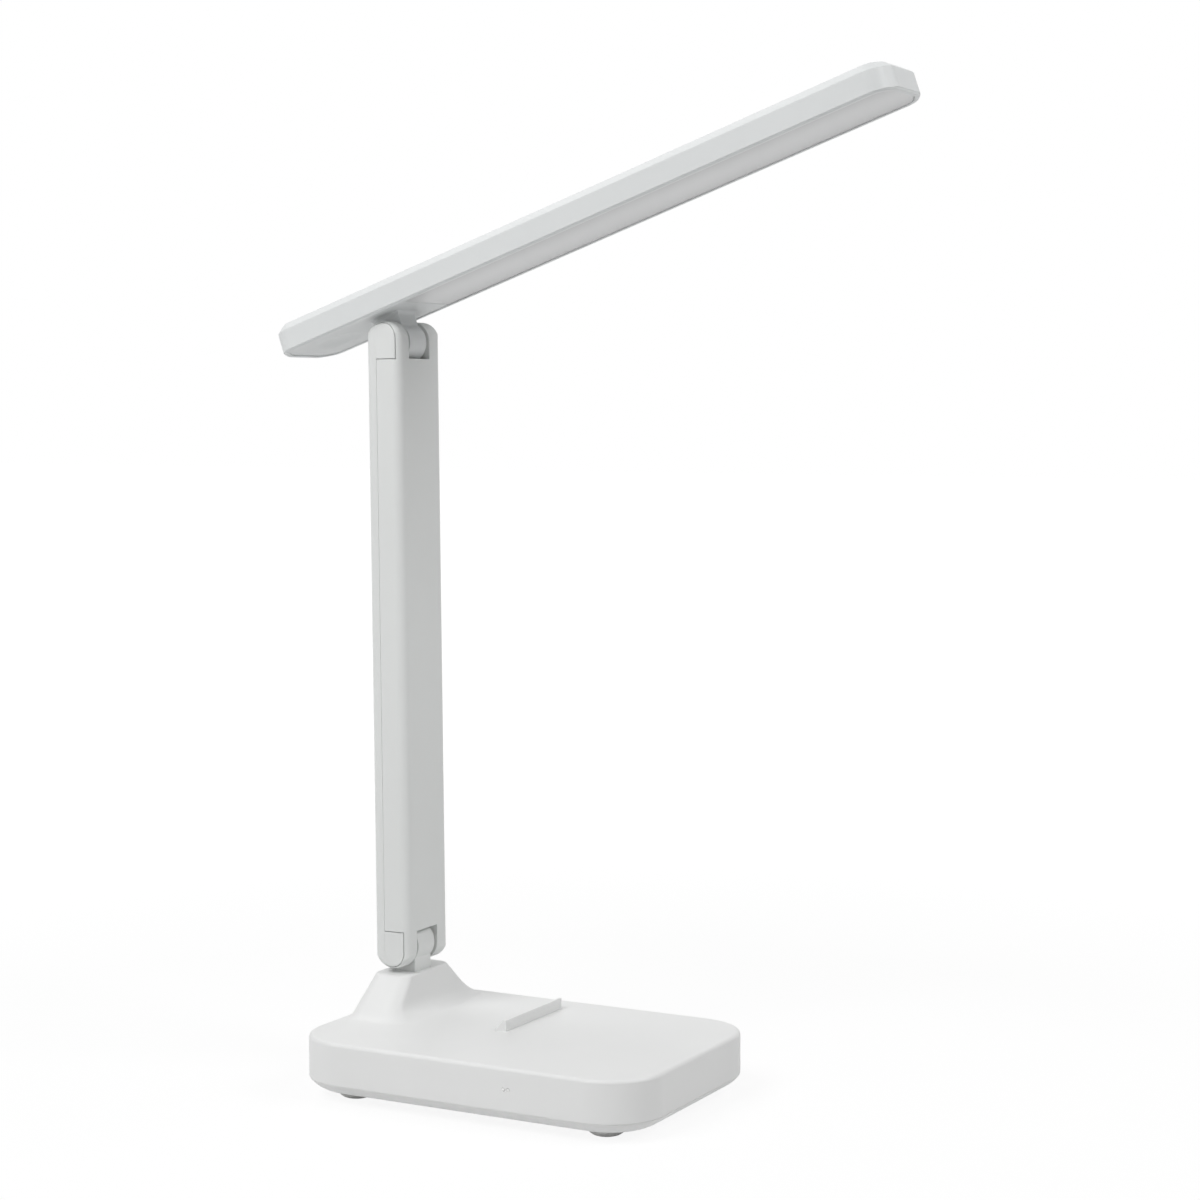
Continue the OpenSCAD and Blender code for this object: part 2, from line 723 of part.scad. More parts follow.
// A pan-head screw pointing up, with its head's top face at the origin
module screw(l) {
    translate([0, 0, -screw_head_h]) difference() {
        cylinder(r = screw_head_r, h = screw_head_h);
        for (a = [0, 90]) rotate([0, 0, a]) translate([0, 0, cross_t - over])
            cube([cross_l, cross_w, 2 * over], center = true);
    }
    translate([0, 0, -slice_t]) cylinder(r = screw_r, h = l + slice_t);
}

module case_screws() {
    color(steel) at_feet() translate([0, 0, case_head_top_z]) screw(case_screw_l);
}

module ballast_plate() {
    color(steel) round_plate(base_l - 2 * ballast_from_end, base_w - 2 * ballast_from_side,
                             ballast_corner_r, tray_top_z, ballast_top_z);
}

module battery_pack() {
    color(foil) translate([battery_x + battery_l / 2, 0, 0])
        round_plate(battery_l, battery_w, battery_corner_r, ballast_top_z, ballast_top_z + battery_t);
}

module control_board() {
    color(circuit_green) translate([board_x, socket_y - board_w / 2, board_z])
        cube([board_l, board_w, board_t]);
}

module usb_socket() {
    front_x = -base_l / 2 + socket_recess;
    inner_w = socket_w - 2 * socket_t;
    inner_h = socket_h - 2 * socket_t;
    color(steel) translate([front_x, socket_y, socket_z]) rotate([90, 0, 90]) {
        difference() {
            linear_extrude(socket_l) round_rect(socket_w, socket_h, inner_h / 2);
            translate([0, 0, -over]) linear_extrude(socket_l - socket_back_t + over)
                round_rect(inner_w, inner_h, inner_h / 2 - socket_t);
        }
        translate([-socket_tongue_w / 2, -socket_tongue_t / 2, socket_tongue_in])
            cube([socket_tongue_w, socket_tongue_t, socket_l - socket_tongue_in - socket_back_t / 2]);
    }
}

// The two charge lights' places, at the inner face of the near wall
module at_charge_lights() {
    for (s = [-0.5, 0.5])
        translate([base_l / 2 - lights_from_end + s * lights_pitch, -base_w / 2 + base_wall,
                   base_split_z + lights_h])
            children();
}

module charge_lights() {
    color(light_panel) {
        at_charge_lights() translate([0, slice_t, 0]) rotate([90, 0, 0])
            cylinder(r = light_r, h = base_wall + slice_t);
        translate([base_l / 2 - lights_from_end - light_block_l / 2, -base_w / 2 + base_wall,
                   base_split_z + lights_h - light_block_w / 2])
            cube([light_block_l, light_block_w, light_block_w]);
    }
}

module charge_light_board() {
    color(circuit_green)
        translate([base_l / 2 - lights_from_end - light_block_l / 2 - light_board_rim,
                   -base_w / 2 + base_wall + light_block_w,
                   base_split_z + lights_h - light_block_w / 2 - light_board_rim])
            cube([light_block_l + 2 * light_board_rim, board_t, light_block_w + 2 * light_board_rim]);
}

// ---------- Lower hinge ----------

module hinge_bracket() {
    color(plastic) translate([hinge_x, knuckle_y, 0]) difference() {
        union() {
            translate([0, 0, hinge_z]) across(knuckle_r, knuckle_w);
            translate([-tongue_half, -knuckle_w / 2, flange_z - fuse])
                cube([2 * tongue_half, knuckle_w, hinge_z - flange_z + fuse]);
            translate([-tongue_half, -flange_w / 2, flange_z - flange_t])
                cube([2 * tongue_half, flange_w, flange_t]);
        }
        translate([0, 0, hinge_z]) across(play_r, knuckle_w + 2 * over);
        for (y = [-flange_screw_y, flange_screw_y]) translate([0, y, flange_z - flange_t - over]) {
            cylinder(r = screw_r + shank_play, h = flange_t + 2 * over);
            cylinder(r = screw_head_r + head_play, h = screw_head_h + over);
        }
    }
}

module bracket_screws() {
    color(steel) at_bracket_screws() translate([0, 0, flange_z - flange_t + screw_head_h])
        screw(bracket_screw_l);
}

// The pair of friction washers beside a knuckle
module washers() {
    for (s = [0, 180]) rotate([0, 0, s]) difference() {
        across_from(washer_r, knuckle_w / 2 + washer_gap, knuckle_w / 2 + washer_gap + washer_t);
        across(play_r, arm_w);
    }
}

module base_hinge_washers() {
    color(nylon) translate([hinge_x, knuckle_y, hinge_z]) washers();
}

// ---------- Arm ----------

// A disc about the Y axis with rounded rims
module arm_end_disc() {
    rotate([90, 0, 0]) rotate_extrude() intersection() {
        round_rect(2 * arm_round_r, arm_w, arm_rim_r);
        translate([0, -arm_w / 2]) square([arm_d, arm_w]);
    }
}

// The arm's outside: a bar with rounded edges and round ends
module arm_body() {
    c = arm_d / 2 - arm_round_r;
    intersection() {
        translate([0, 0, -arm_d]) linear_extrude(arm_pitch + 2 * arm_d) round_rect(arm_d, arm_w, arm_edge_r);
        union() {
            translate([0, 0, -c]) linear_extrude(arm_pitch + 2 * c) round_rect(arm_d, arm_w, arm_rim_r);
            for (z = [-c, arm_pitch + c]) {
                for (x = [-c, c]) translate([x, 0, z]) arm_end_disc();
                translate([-c, 0, z]) rotate([90, 0, 90]) linear_extrude(2 * c)
                    round_rect(arm_w, 2 * arm_round_r, arm_rim_r);
            }
        }
    }
}

// Outline of a hinge cap in X and Z, grown by d, up to the line x0 at the back; its round end points along +Z
module cap_outline(d, x0) {
    intersection() {
        union() {
            translate([-cap_half, -cap_tail - d]) square([2 * cap_half + d, cap_tail + cap_nose + d]);
            translate([0, cap_nose]) circle(cap_half + d);
        }
        translate([x0, -arm_d]) square([arm_d, 2 * arm_d]);
    }
}

// The cap or its seat on the far side; mirrored for the near side
module cap_prism(d, x0) {
    translate([0, arm_w, 0]) rotate([90, 0, 0]) linear_extrude(arm_w - ear_out + cap_t) cap_outline(d, x0);
}

// The hinge cuts' own frame at each end of the arm: +Z points out of the arm
module at_arm_ends() {
    translate([0, 0, arm_pitch]) children();
    mirror([0, 0, 1]) children();
}

// Both sides of the arm
module at_arm_sides() {
    for (s = [0, 1]) mirror([0, s, 0]) children();
}

// What is cut from one end of the arm: slot, round bottom for the knuckle, bolt bore and head pockets
module hinge_cuts() {
    translate([-arm_d, slot_shift - slot_half, -slot_depth])
        cube([2 * arm_d, 2 * slot_half, arm_d + slot_depth]);
    translate([0, slot_shift, 0]) across(slot_round_r, 2 * slot_half);
    across(play_r, arm_w - 2 * cap_t);
    at_arm_sides() across_from(pocket_r, pocket_y, ear_out - cap_t + slice_t);
}

// Both shells of the arm together, without the cap seats
module arm_tube() {
    hollow_z = slot_round_r + arm_wall;
    difference() {
        arm_body();
        translate([-arm_d / 2 + arm_wall, -arm_w / 2 + arm_wall, hollow_z])
            cube([arm_d - 2 * arm_wall, arm_w - 2 * arm_wall, arm_pitch - 2 * hollow_z]);
        at_arm_ends() hinge_cuts();
        cylinder(r = lead_r + lead_gap, h = arm_pitch);
        at_arm_sides() translate([-arm_seam - seam_w / 2, arm_w / 2 - seam_t, -arm_d])
            cube([seam_w, over, arm_pitch + 2 * arm_d]);
    }
}

module arm_front_shell() {
    color(plastic) place_arm() difference() {
        arm_tube();
        translate([-arm_seam - arm_d, -arm_w, -arm_d]) cube([arm_d, 2 * arm_w, arm_pitch + 2 * arm_d]);
        at_arm_ends() at_arm_sides() cap_prism(cap_gap, -cap_half);
    }
}

module arm_back_shell() {
    color(plastic) place_arm() difference() {
        arm_tube();
        translate([-arm_seam, -arm_w, -arm_d]) cube([2 * arm_d, 2 * arm_w, arm_pitch + 2 * arm_d]);
    }
}

module arm_lead() {
    lead_z = slot_round_r + lead_gap;
    color(lead_white) place_arm() translate([0, 0, lead_z]) cylinder(r = lead_r, h = arm_pitch - 2 * lead_z);
}

// The bolt of one hinge, head on the near side
module bolt() {
    across_from(bolt_r, -pocket_y - slice_t, pocket_y + bolt_head_h);
    difference() {
        across_from(bolt_head_r, -pocket_y - bolt_head_h, -pocket_y);
        translate([0, -pocket_y - bolt_head_h + hex_t, 0]) rotate([90, 0, 0])
            cylinder(r = hex_r, h = hex_t + over, $fn = 6);
    }
}

// The hexagon nut of one hinge, on the far side
module nut() {
    difference() {
        translate([0, pocket_y + bolt_head_h, 0]) rotate([90, 0, 0])
            cylinder(r = nut_r, h = bolt_head_h, $fn = 6);
        across(play_r, 2 * arm_w);
    }
}

// The far cap of the upper hinge
module cap() {
    intersection() {
        arm_body();
        translate([0, 0, arm_pitch]) cap_prism(0, -arm_seam + cap_seam_gap);
    }
}

// Turns what is at the arm's upper end into its like at the lower end
module at_lower_end() {
    translate([0, 0, arm_pitch]) mirror([0, 0, 1]) children();
}

module head_hinge_bolt() {
    color(steel) place_arm() translate([0, 0, arm_pitch]) bolt();
}

module head_hinge_nut() {
    color(steel) place_arm() translate([0, 0, arm_pitch]) nut();
}

module head_cap_near() {
    color(cap_plastic) place_arm() mirror([0, 1, 0]) cap();
}

module head_cap_far() {
    color(cap_plastic) place_arm() cap();
}

module base_hinge_bolt() {
    color(steel) place_arm() bolt();
}

module base_hinge_nut() {
    color(steel) place_arm() nut();
}

module base_cap_near() {
    color(cap_plastic) place_arm() at_lower_end() mirror([0, 1, 0]) cap();
}

module base_cap_far() {
    color(cap_plastic) place_arm() at_lower_end() cap();
}

// ---------- Head ----------

// The head's outline from above, drawn in by d: an oblong with cut and rounded corners
module head_outline(d) {
    r = head_corner_r - d;
    quarter = [
        end_corner + [r, 0], end_corner, end_corner + r * cut_normal,
        side_corner + r * cut_normal, side_corner, side_corner + [0, r]
    ];
    half = concat(quarter, [for (i = [5 : -1 : 0]) [-quarter[i].x, quarter[i].y]]);
    translate([head_mid_x, 0]) {
        polygon(concat(half, [for (p = half) -p]));
        for (x = [-1, 1], y = [-1, 1], c = [side_corner, end_corner])
            translate([x * c.x, y * c.y]) circle(r);
    }
}

// A plate of the head's outline, drawn in by d, from height z0 to z1
module head_plate(d, z0, z1) {
    translate([0, 0, z0]) linear_extrude(z1 - z0) head_outline(d);
}

// Everything of the head's length between x0 and x1, for cutting plates short
module head_span(x0, x1) {
    translate([x0, -head_w, 0]) cube([x1 - x0, 2 * head_w, 2 * crown_z]);
}

module at_head_screws() {
    for (x = head_screw_x, y = [-head_screw_y, head_screw_y]) translate([x, y, 0]) children();
}

// A thin slice of the head's outline, drawn in by d, with its top at height z
module head_slice(d, z) {
    translate([0, 0, z - slice_t]) linear_extrude(slice_t) head_outline(d, $fn = hull_fn);
}

module head_housing() {
    head_hole_z = ledge_z + screw_head_h + head_screw_l + head_play;
    color(plastic) place_head() difference() {
        hull() {
            head_slice(0, housing_z + slice_t);
            head_slice(0, shoulder_z);
            head_slice(crown_inset, crown_z);
        }
        difference() {
            union() {
                head_plate(head_wall, housing_z - over, shoulder_z - crown_wall);
                head_plate(crown_inset + crown_wall, housing_z, head_ceiling_z);
            }
            at_head_screws() translate([0, 0, cover_top_z + cover_gap])
                cylinder(r = head_post_r, h = crown_z);
        }
        at_head_screws() translate([0, 0, cover_top_z - over])
            cylinder(r = screw_r + thread_play, h = head_hole_z - cover_top_z + over);
    }
}

// Neck and knuckle, blended into the underside by a collar with hollow-rounded sides
module neck() {
    across(knuckle_r, knuckle_w);
    translate([-tongue_half, -knuckle_w / 2, 0]) cube([2 * tongue_half, knuckle_w, panel_z + fuse]);
    intersection() {
        translate([0, head_w, 0]) rotate([90, 0, 0]) linear_extrude(2 * head_w)
            collar_profile(tongue_half);
        translate([-head_w, 0, 0]) rotate([90, 0, 90]) linear_extrude(2 * head_w)
            collar_profile(knuckle_w / 2);
    }
}

// Side view of the collar round a neck of the given half width
module collar_profile(half) {
    difference() {
        translate([-half - collar_r, panel_z - collar_r]) square([2 * (half + collar_r), collar_r + fuse]);
        for (s = [-1, 1]) translate([s * (half + collar_r), panel_z - collar_r]) circle(collar_r);
    }
}

module head_bottom_cover() {
    dish_sphere_r = (dish_r * dish_r + dish_t * dish_t) / (2 * dish_t);
    color(plastic) place_head() difference() {
        union() {
            difference() {
                union() {
                    head_plate(rim_inset, head_lift, housing_z);
                    head_plate(head_wall + cover_gap, housing_z - slice_t, cover_top_z);
                }
                head_plate(rim_in, head_lift - over, cover_top_z + over);
            }
            intersection() {
                head_plate(rim_in - fuse, panel_z, panel_top_z);
                head_span(-head_back, diffuser_start);
            }
            difference() {
                intersection() {
                    head_plate(rim_in - fuse, ledge_z, cover_top_z);
                    head_span(diffuser_start - fuse, head_front);
                }
                translate([diffuser_start + ledge_l, -head_half_w + rim_in + ledge_w, 0])
                    cube([head_front - rim_in - diffuser_start - 2 * ledge_l,
                          head_w - 2 * (rim_in + ledge_w), 2 * crown_z]);
            }
            translate([0, slot_shift, 0]) neck();
        }
        translate([0, slot_shift, 0]) across(play_r, knuckle_w + 2 * over);
        intersection() {
            translate([-dish_back, 0, panel_z + dish_t - dish_sphere_r]) sphere(dish_sphere_r, $fn = 128);
            translate([-dish_back, 0, panel_z - over]) cylinder(r = 2 * dish_r, h = dish_t + 2 * over);
        }
        at_head_screws() cylinder(r = screw_r + shank_play, h = crown_z);
        at_head_screws() translate([0, 0, panel_z])
            cylinder(r = screw_head_r + head_play, h = ledge_z - panel_z + screw_head_h);
    }
}

module head_diffuser() {
    color(light_panel) place_head() difference() {
        head_plate(rim_in + cover_gap, panel_z, panel_z + diffuser_t);
        head_span(-head_back - over, diffuser_start + cover_gap);
    }
}

module head_screws() {
    color(steel) place_head() at_head_screws() translate([0, 0, ledge_z + screw_head_h]) screw(head_screw_l);
}

module head_hinge_washers() {
    color(nylon) place_head() translate([0, slot_shift, 0]) washers();
}

module led_board() {
    color(board_white) place_head() translate([led_board_x0, -led_board_w / 2, led_board_z])
        cube([led_board_x1 - led_board_x0, led_board_w, board_t]);
}

module led_chips() {
    count = floor((led_board_x1 - led_board_x0 - led_pitch) / led_pitch) + 1;
    start = (led_board_x0 + led_board_x1 - (count - 1) * led_pitch) / 2;
    color(led_yellow) place_head() for (i = [0 : count - 1], s = [-1, 1])
        translate([start + i * led_pitch - led_l / 2, s * led_row / 2 - led_w / 2, led_board_z - led_t])
            cube([led_l, led_w, led_t]);
}

module touch_board() {
    color(circuit_green) place_head()
        translate([-dish_back - touch_board_l / 2, -touch_board_w / 2, panel_top_z + pad_t])
            cube([touch_board_l, touch_board_w, board_t]);
}

module touch_pad() {
    color(copper) place_head() translate([-dish_back, 0, panel_top_z]) cylinder(r = pad_r, h = pad_t);
}

base_shell();
base_tray();
base_feet();
case_screws();
ballast_plate();
battery_pack();
control_board();
usb_socket();
charge_lights();
charge_light_board();
hinge_bracket();
bracket_screws();
base_hinge_washers();
arm_front_shell();
arm_back_shell();
arm_lead();
base_hinge_bolt();
base_hinge_nut();
base_cap_near();
base_cap_far();
head_hinge_bolt();
head_hinge_nut();
head_cap_near();
head_cap_far();
head_housing();
head_bottom_cover();
head_diffuser();
head_screws();
head_hinge_washers();
led_board();
led_chips();
touch_board();
touch_pad();
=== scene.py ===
import json
import logging
import math
from contextlib import contextmanager
from dataclasses import dataclass, field
from enum import Enum
from typing import Any, Callable, Iterator

import bmesh
import bpy
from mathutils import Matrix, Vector


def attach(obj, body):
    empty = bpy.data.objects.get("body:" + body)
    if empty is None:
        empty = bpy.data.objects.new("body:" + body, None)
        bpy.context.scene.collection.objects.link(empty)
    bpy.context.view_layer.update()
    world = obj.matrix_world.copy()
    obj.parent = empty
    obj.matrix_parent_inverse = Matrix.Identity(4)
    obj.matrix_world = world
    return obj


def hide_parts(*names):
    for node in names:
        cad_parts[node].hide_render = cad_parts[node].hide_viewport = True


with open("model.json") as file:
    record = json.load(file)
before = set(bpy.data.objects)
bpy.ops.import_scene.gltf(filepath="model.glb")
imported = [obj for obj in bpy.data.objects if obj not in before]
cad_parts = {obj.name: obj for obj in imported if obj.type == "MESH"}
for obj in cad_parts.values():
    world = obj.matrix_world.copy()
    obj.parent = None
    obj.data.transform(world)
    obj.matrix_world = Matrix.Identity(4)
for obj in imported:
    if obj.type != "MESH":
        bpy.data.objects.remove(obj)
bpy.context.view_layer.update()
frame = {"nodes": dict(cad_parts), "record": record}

Colour = tuple[float, float, float]
Place = tuple[float, float, float]
MM = 0.001
WELD = 2e-6  # metres within which vertices are joined
FLAT_WITHIN = 0.4  # degrees within which neighbouring faces are joined
SMOOTH_WITHIN = 40.0  # degrees up to which an edge is shaded smooth
EDGE_OVER = 38.0  # degrees from which an edge counts as one
EDGE_SEGMENTS = 3  # faces across a rounded edge
ROOM = 2.2  # free width that a round needs beside it, in its own widths
NORMAL_WEIGHT = 80  # how strongly large faces lead the shading
SLOTS = {row["node"]: row["material_slot"] for row in frame["record"]["subparts"]}
log = logging.getLogger("lamp")


# ---------- Shader building ----------


class Number:
    """A socket that carries one number, with Python's arithmetic on it."""

    def __init__(self, tree: "ShaderTree", socket: bpy.types.NodeSocket) -> None:
        """Wraps an output socket of the tree's nodes."""
        self.tree = tree
        self.socket = socket

    def _maths(self, operation: str, first: "Number | float", second: "Number | float") -> "Number":
        """Adds one Math node.

        Args:
            operation: the Math node's operation.
            first: its first value or link.
            second: its second value or link.

        Returns:
            The node's result.
        """
        made = self.tree.node("ShaderNodeMath", {"operation": operation}, {0: first, 1: second})
        return Number(self.tree, made.outputs[0])

    def __add__(self, other: "Number | float") -> "Number":
        """Returns self + other."""
        return self._maths("ADD", self, other)

    def __radd__(self, other: float) -> "Number":
        """Returns other + self."""
        return self._maths("ADD", other, self)

    def __sub__(self, other: "Number | float") -> "Number":
        """Returns self - other."""
        return self._maths("SUBTRACT", self, other)

    def __rsub__(self, other: float) -> "Number":
        """Returns other - self."""
        return self._maths("SUBTRACT", other, self)

    def __mul__(self, other: "Number | float") -> "Number":
        """Returns self * other."""
        return self._maths("MULTIPLY", self, other)

    def __rmul__(self, other: float) -> "Number":
        """Returns other * self."""
        return self._maths("MULTIPLY", other, self)

    def __pow__(self, other: float) -> "Number":
        """Returns self to the power other."""
        return self._maths("POWER", self, other)

    def spread(self, low: float, high: float, to_low: float = 0.0, to_high: float = 1.0) -> "Number":
        """Maps low..high to to_low..to_high, smoothly and without overshoot.

        Args:
            low: value that becomes to_low.
            high: value that becomes to_high.
            to_low: result at and below low.
            to_high: result at and above high.

        Returns:
            The mapped number.
        """
        made = self.tree.node(
            "ShaderNodeMapRange",
            {"interpolation_type": "SMOOTHSTEP", "clamp": True},
            {"Value": self, "From Min": low, "From Max": high, "To Min": to_low, "To Max": to_high},
        )
        return Number(self.tree, made.outputs["Result"])


class ShaderTree:
    """A material's node tree, built with a few calls."""

    def __init__(self, name: str) -> None:
        """Starts a material of that name with a Principled shader and its output."""
        self.material = bpy.data.materials.new(name)
        self.material.use_nodes = True
        self.nodes = self.material.node_tree.nodes
        self.links = self.material.node_tree.links
        self.nodes.clear()
        self.shader = self.node("ShaderNodeBsdfPrincipled")
        self.node("ShaderNodeOutputMaterial", inputs={"Surface": self.shader.outputs[0]})
        self._place = self.node("ShaderNodeTexCoord").outputs["Object"]

    def node(
        self,
        kind: str,
        settings: dict[str, Any] | None = None,
        inputs: dict[Any, Any] | None = None,
    ) -> bpy.types.Node:
        """Adds a node.

        Args:
            kind: Blender's name of the node type.
            settings: the node's own properties, set before its inputs.
            inputs: values or links by socket name or index.

        Returns:
            The new node.
        """
        made = self.nodes.new(kind)
        for key, value in (settings or {}).items():
            setattr(made, key, value)
        for key, value in (inputs or {}).items():
            self.feed(made.inputs[key], value)
        return made

    def feed(self, socket: bpy.types.NodeSocket, value: Any) -> None:
        """Links a Number or socket to an input, or sets it to a plain value."""
        if isinstance(value, Number):
            self.links.new(value.socket, socket)
        elif isinstance(value, bpy.types.NodeSocket):
            self.links.new(value, socket)
        elif isinstance(value, (tuple, list)) and len(value) == 3 and socket.type == "RGBA":
            socket.default_value = (*value, 1.0)
        else:
            socket.default_value = value

    def noise(self, scale: float, detail: float = 2.0, roughness: float = 0.5) -> Number:
        """Returns a noise field of the part's own space; scale is in cells per metre."""
        made = self.node(
            "ShaderNodeTexNoise",
            {"noise_dimensions": "3D"},
            {"Vector": self._place, "Scale": scale, "Detail": detail, "Roughness": roughness},
        )
        return Number(self, made.outputs["Fac"])

    def speckle(self, scale: float) -> Number:
        """Returns the distance to the nearest of a cloud of points, for pits and grains."""
        made = self.node("ShaderNodeTexVoronoi", {"feature": "F1"}, {"Vector": self._place, "Scale": scale})
        return Number(self, made.outputs["Distance"])

    def axis(self, name: str) -> Number:
        """Returns one coordinate, X, Y or Z, of the part's own space, in metres."""
        made = self.node("ShaderNodeSeparateXYZ", inputs={0: self._place})
        return Number(self, made.outputs[name])

    def edges(self) -> Number:
        """Returns how convex the surface is: 0.5 where flat, more on outer edges."""
        return Number(self, self.node("ShaderNodeNewGeometry").outputs["Pointiness"])

    def blend(self, share: Number, low: Colour, high: Colour) -> bpy.types.NodeSocket:
        """Returns the colour between low and high at that share."""
        made = self.node(
            "ShaderNodeMix",
            {"data_type": "RGBA", "blend_type": "MIX"},
            {"Factor": share, 6: (*low, 1.0), 7: (*high, 1.0)},
        )
        return made.outputs[2]

    def bump(self, height: Number, strength: float, distance: float) -> None:
        """Feeds the shader's normal with a height field; distance is in metres."""
        values = {"Height": height, "Strength": strength, "Distance": distance}
        made = self.node("ShaderNodeBump", inputs=values)
        self.feed(self.shader.inputs["Normal"], made.outputs["Normal"])

    def surface(self, **values: Any) -> None:
        """Sets the Principled shader's inputs; an underscore stands for a space in a socket's name."""
        for key, value in values.items():
            self.feed(self.shader.inputs[key.replace("_", " ")], value)


def tinted(colour: Colour, factor: float) -> Colour:
    """Returns the colour made lighter or darker by a factor."""
    return tuple(min(1.0, c * factor) for c in colour)


# ---------- Finishes ----------


@dataclass(frozen=True)
class MouldedPlastic:
    """Injection-moulded plastic with a fine spark-eroded grain, rubbed smoother at its edges."""

    name: str
    colour: Colour
    roughness: float = 0.46
    grain: float = 0.14
    grain_scale: float = 3200.0
    flow_scale: float = 14.0
    handled_scale: float = 60.0
    tone: float = 0.012
    depth: float = 0.04 * MM

    def make(self) -> bpy.types.Material:
        """Returns the finish as a material."""
        tree = ShaderTree(self.name)
        grain = tree.noise(self.grain_scale, 2.0, 0.6)
        pits = tree.speckle(self.grain_scale * 0.55).spread(0.0, 0.5)
        flow = tree.noise(self.flow_scale, 3.0, 0.5).spread(0.3, 0.7)
        handled = tree.noise(self.handled_scale, 4.0, 0.6).spread(0.45, 0.8)
        worn = tree.edges().spread(0.52, 0.62)
        darker, lighter = tinted(self.colour, 1 - self.tone), tinted(self.colour, 1 + self.tone)
        tree.surface(
            Base_Color=tree.blend(flow * 0.8 + worn * 0.2, darker, lighter),
            Roughness=grain * 0.06 + (self.roughness - 0.03) - handled * 0.05 - worn * 0.08,
            IOR=1.5,
        )
        tree.bump(grain * 0.7 + pits * 0.3, self.grain, self.depth)
        return tree.material


@dataclass(frozen=True)
class SoftRubber:
    """Matt rubber with a dusty, slightly uneven skin."""

    name: str
    colour: Colour
    dust_scale: float = 420.0
    skin_scale: float = 2600.0
    depth: float = 0.06 * MM

    def make(self) -> bpy.types.Material:
        """Returns the finish as a material."""
        tree = ShaderTree(self.name)
        dust = tree.noise(self.dust_scale, 5.0, 0.65)
        skin = tree.noise(self.skin_scale, 2.0, 0.5)
        darker, lighter = tinted(self.colour, 0.9), tinted(self.colour, 1.08)
        tree.surface(
            Base_Color=tree.blend(dust.spread(0.35, 0.75), darker, lighter),
            Roughness=dust * 0.2 + 0.68,
            IOR=1.45,
        )
        tree.bump(skin, 0.25, self.depth)
        return tree.material


@dataclass(frozen=True)
class BareMetal:
    """Turned, pressed or cast metal with tool marks and a little tarnish."""

    name: str
    colour: Colour
    roughness: float = 0.32
    marks: float = 900.0
    stain_scale: float = 130.0
    depth: float = 0.03 * MM

    def make(self) -> bpy.types.Material:
        """Returns the finish as a material."""
        tree = ShaderTree(self.name)
        lines = tree.noise(self.marks, 3.0, 0.7)
        stain = tree.noise(self.stain_scale, 4.0, 0.6).spread(0.4, 0.75)
        tree.surface(
            Base_Color=tree.blend(stain, self.colour, tinted(self.colour, 0.8)),
            Roughness=lines * 0.16 + stain * 0.12 + (self.roughness - 0.08),
            Metallic=1.0,
        )
        tree.bump(lines, 0.15, self.depth)
        return tree.material


@dataclass(frozen=True)
class CircuitBoard:
    """Solder mask over woven glass, with the weave and the tracks just showing."""

    name: str
    colour: Colour
    track: Colour
    weave_scale: float = 1500.0
    track_scale: float = 260.0
    depth: float = 0.03 * MM

    def make(self) -> bpy.types.Material:
        """Returns the finish as a material."""
        tree = ShaderTree(self.name)
        weave = tree.noise(self.weave_scale, 1.0, 0.3)
        tracks = tree.speckle(self.track_scale).spread(0.30, 0.34)
        tree.surface(
            Base_Color=tree.blend(tracks, self.track, self.colour),
            Roughness=weave * 0.12 + 0.3,
            Coat_Weight=0.3,
        )
        tree.bump(weave * 0.5 + tracks * 0.5, 0.2, self.depth)
        return tree.material


@dataclass(frozen=True)
class MilkyPanel:
    """Light-spreading acrylic, milky and smooth; given a width, its colour is darker towards its long
    edges, painted shade from the rim around it.
    """

    name: str
    colour: Colour
    roughness: float = 0.38
    middle_y: float = 0.0
    half_width: float = 0.0
    painted_edge_shade: float = 1.0
    frost_scale: float = 5200.0
    cloud_scale: float = 22.0
    depth: float = 0.03 * MM

    def make(self) -> bpy.types.Material:
        """Returns the finish as a material."""
        tree = ShaderTree(self.name)
        frost = tree.noise(self.frost_scale, 1.0, 0.4)
        share = tree.noise(self.cloud_scale, 2.0, 0.5).spread(0.3, 0.7) * 0.12
        # Painted shade: given a width, the colour darkens from the middle towards the long edges, standing
        # in for the shade that the rim casts.
        if self.half_width:
            off_middle = ((tree.axis("Y") - self.middle_y) ** 2.0) * (1 / self.half_width**2)
            share = share + (1 - off_middle) * 0.88
        tree.surface(
            Base_Color=tree.blend(share, tinted(self.colour, self.painted_edge_shade), self.colour),
            Roughness=frost * 0.06 + (self.roughness - 0.03),
            IOR=1.49,
        )
        tree.bump(frost, 0.06, self.depth)
        return tree.material


MADE: dict[str, bpy.types.Material] = {}


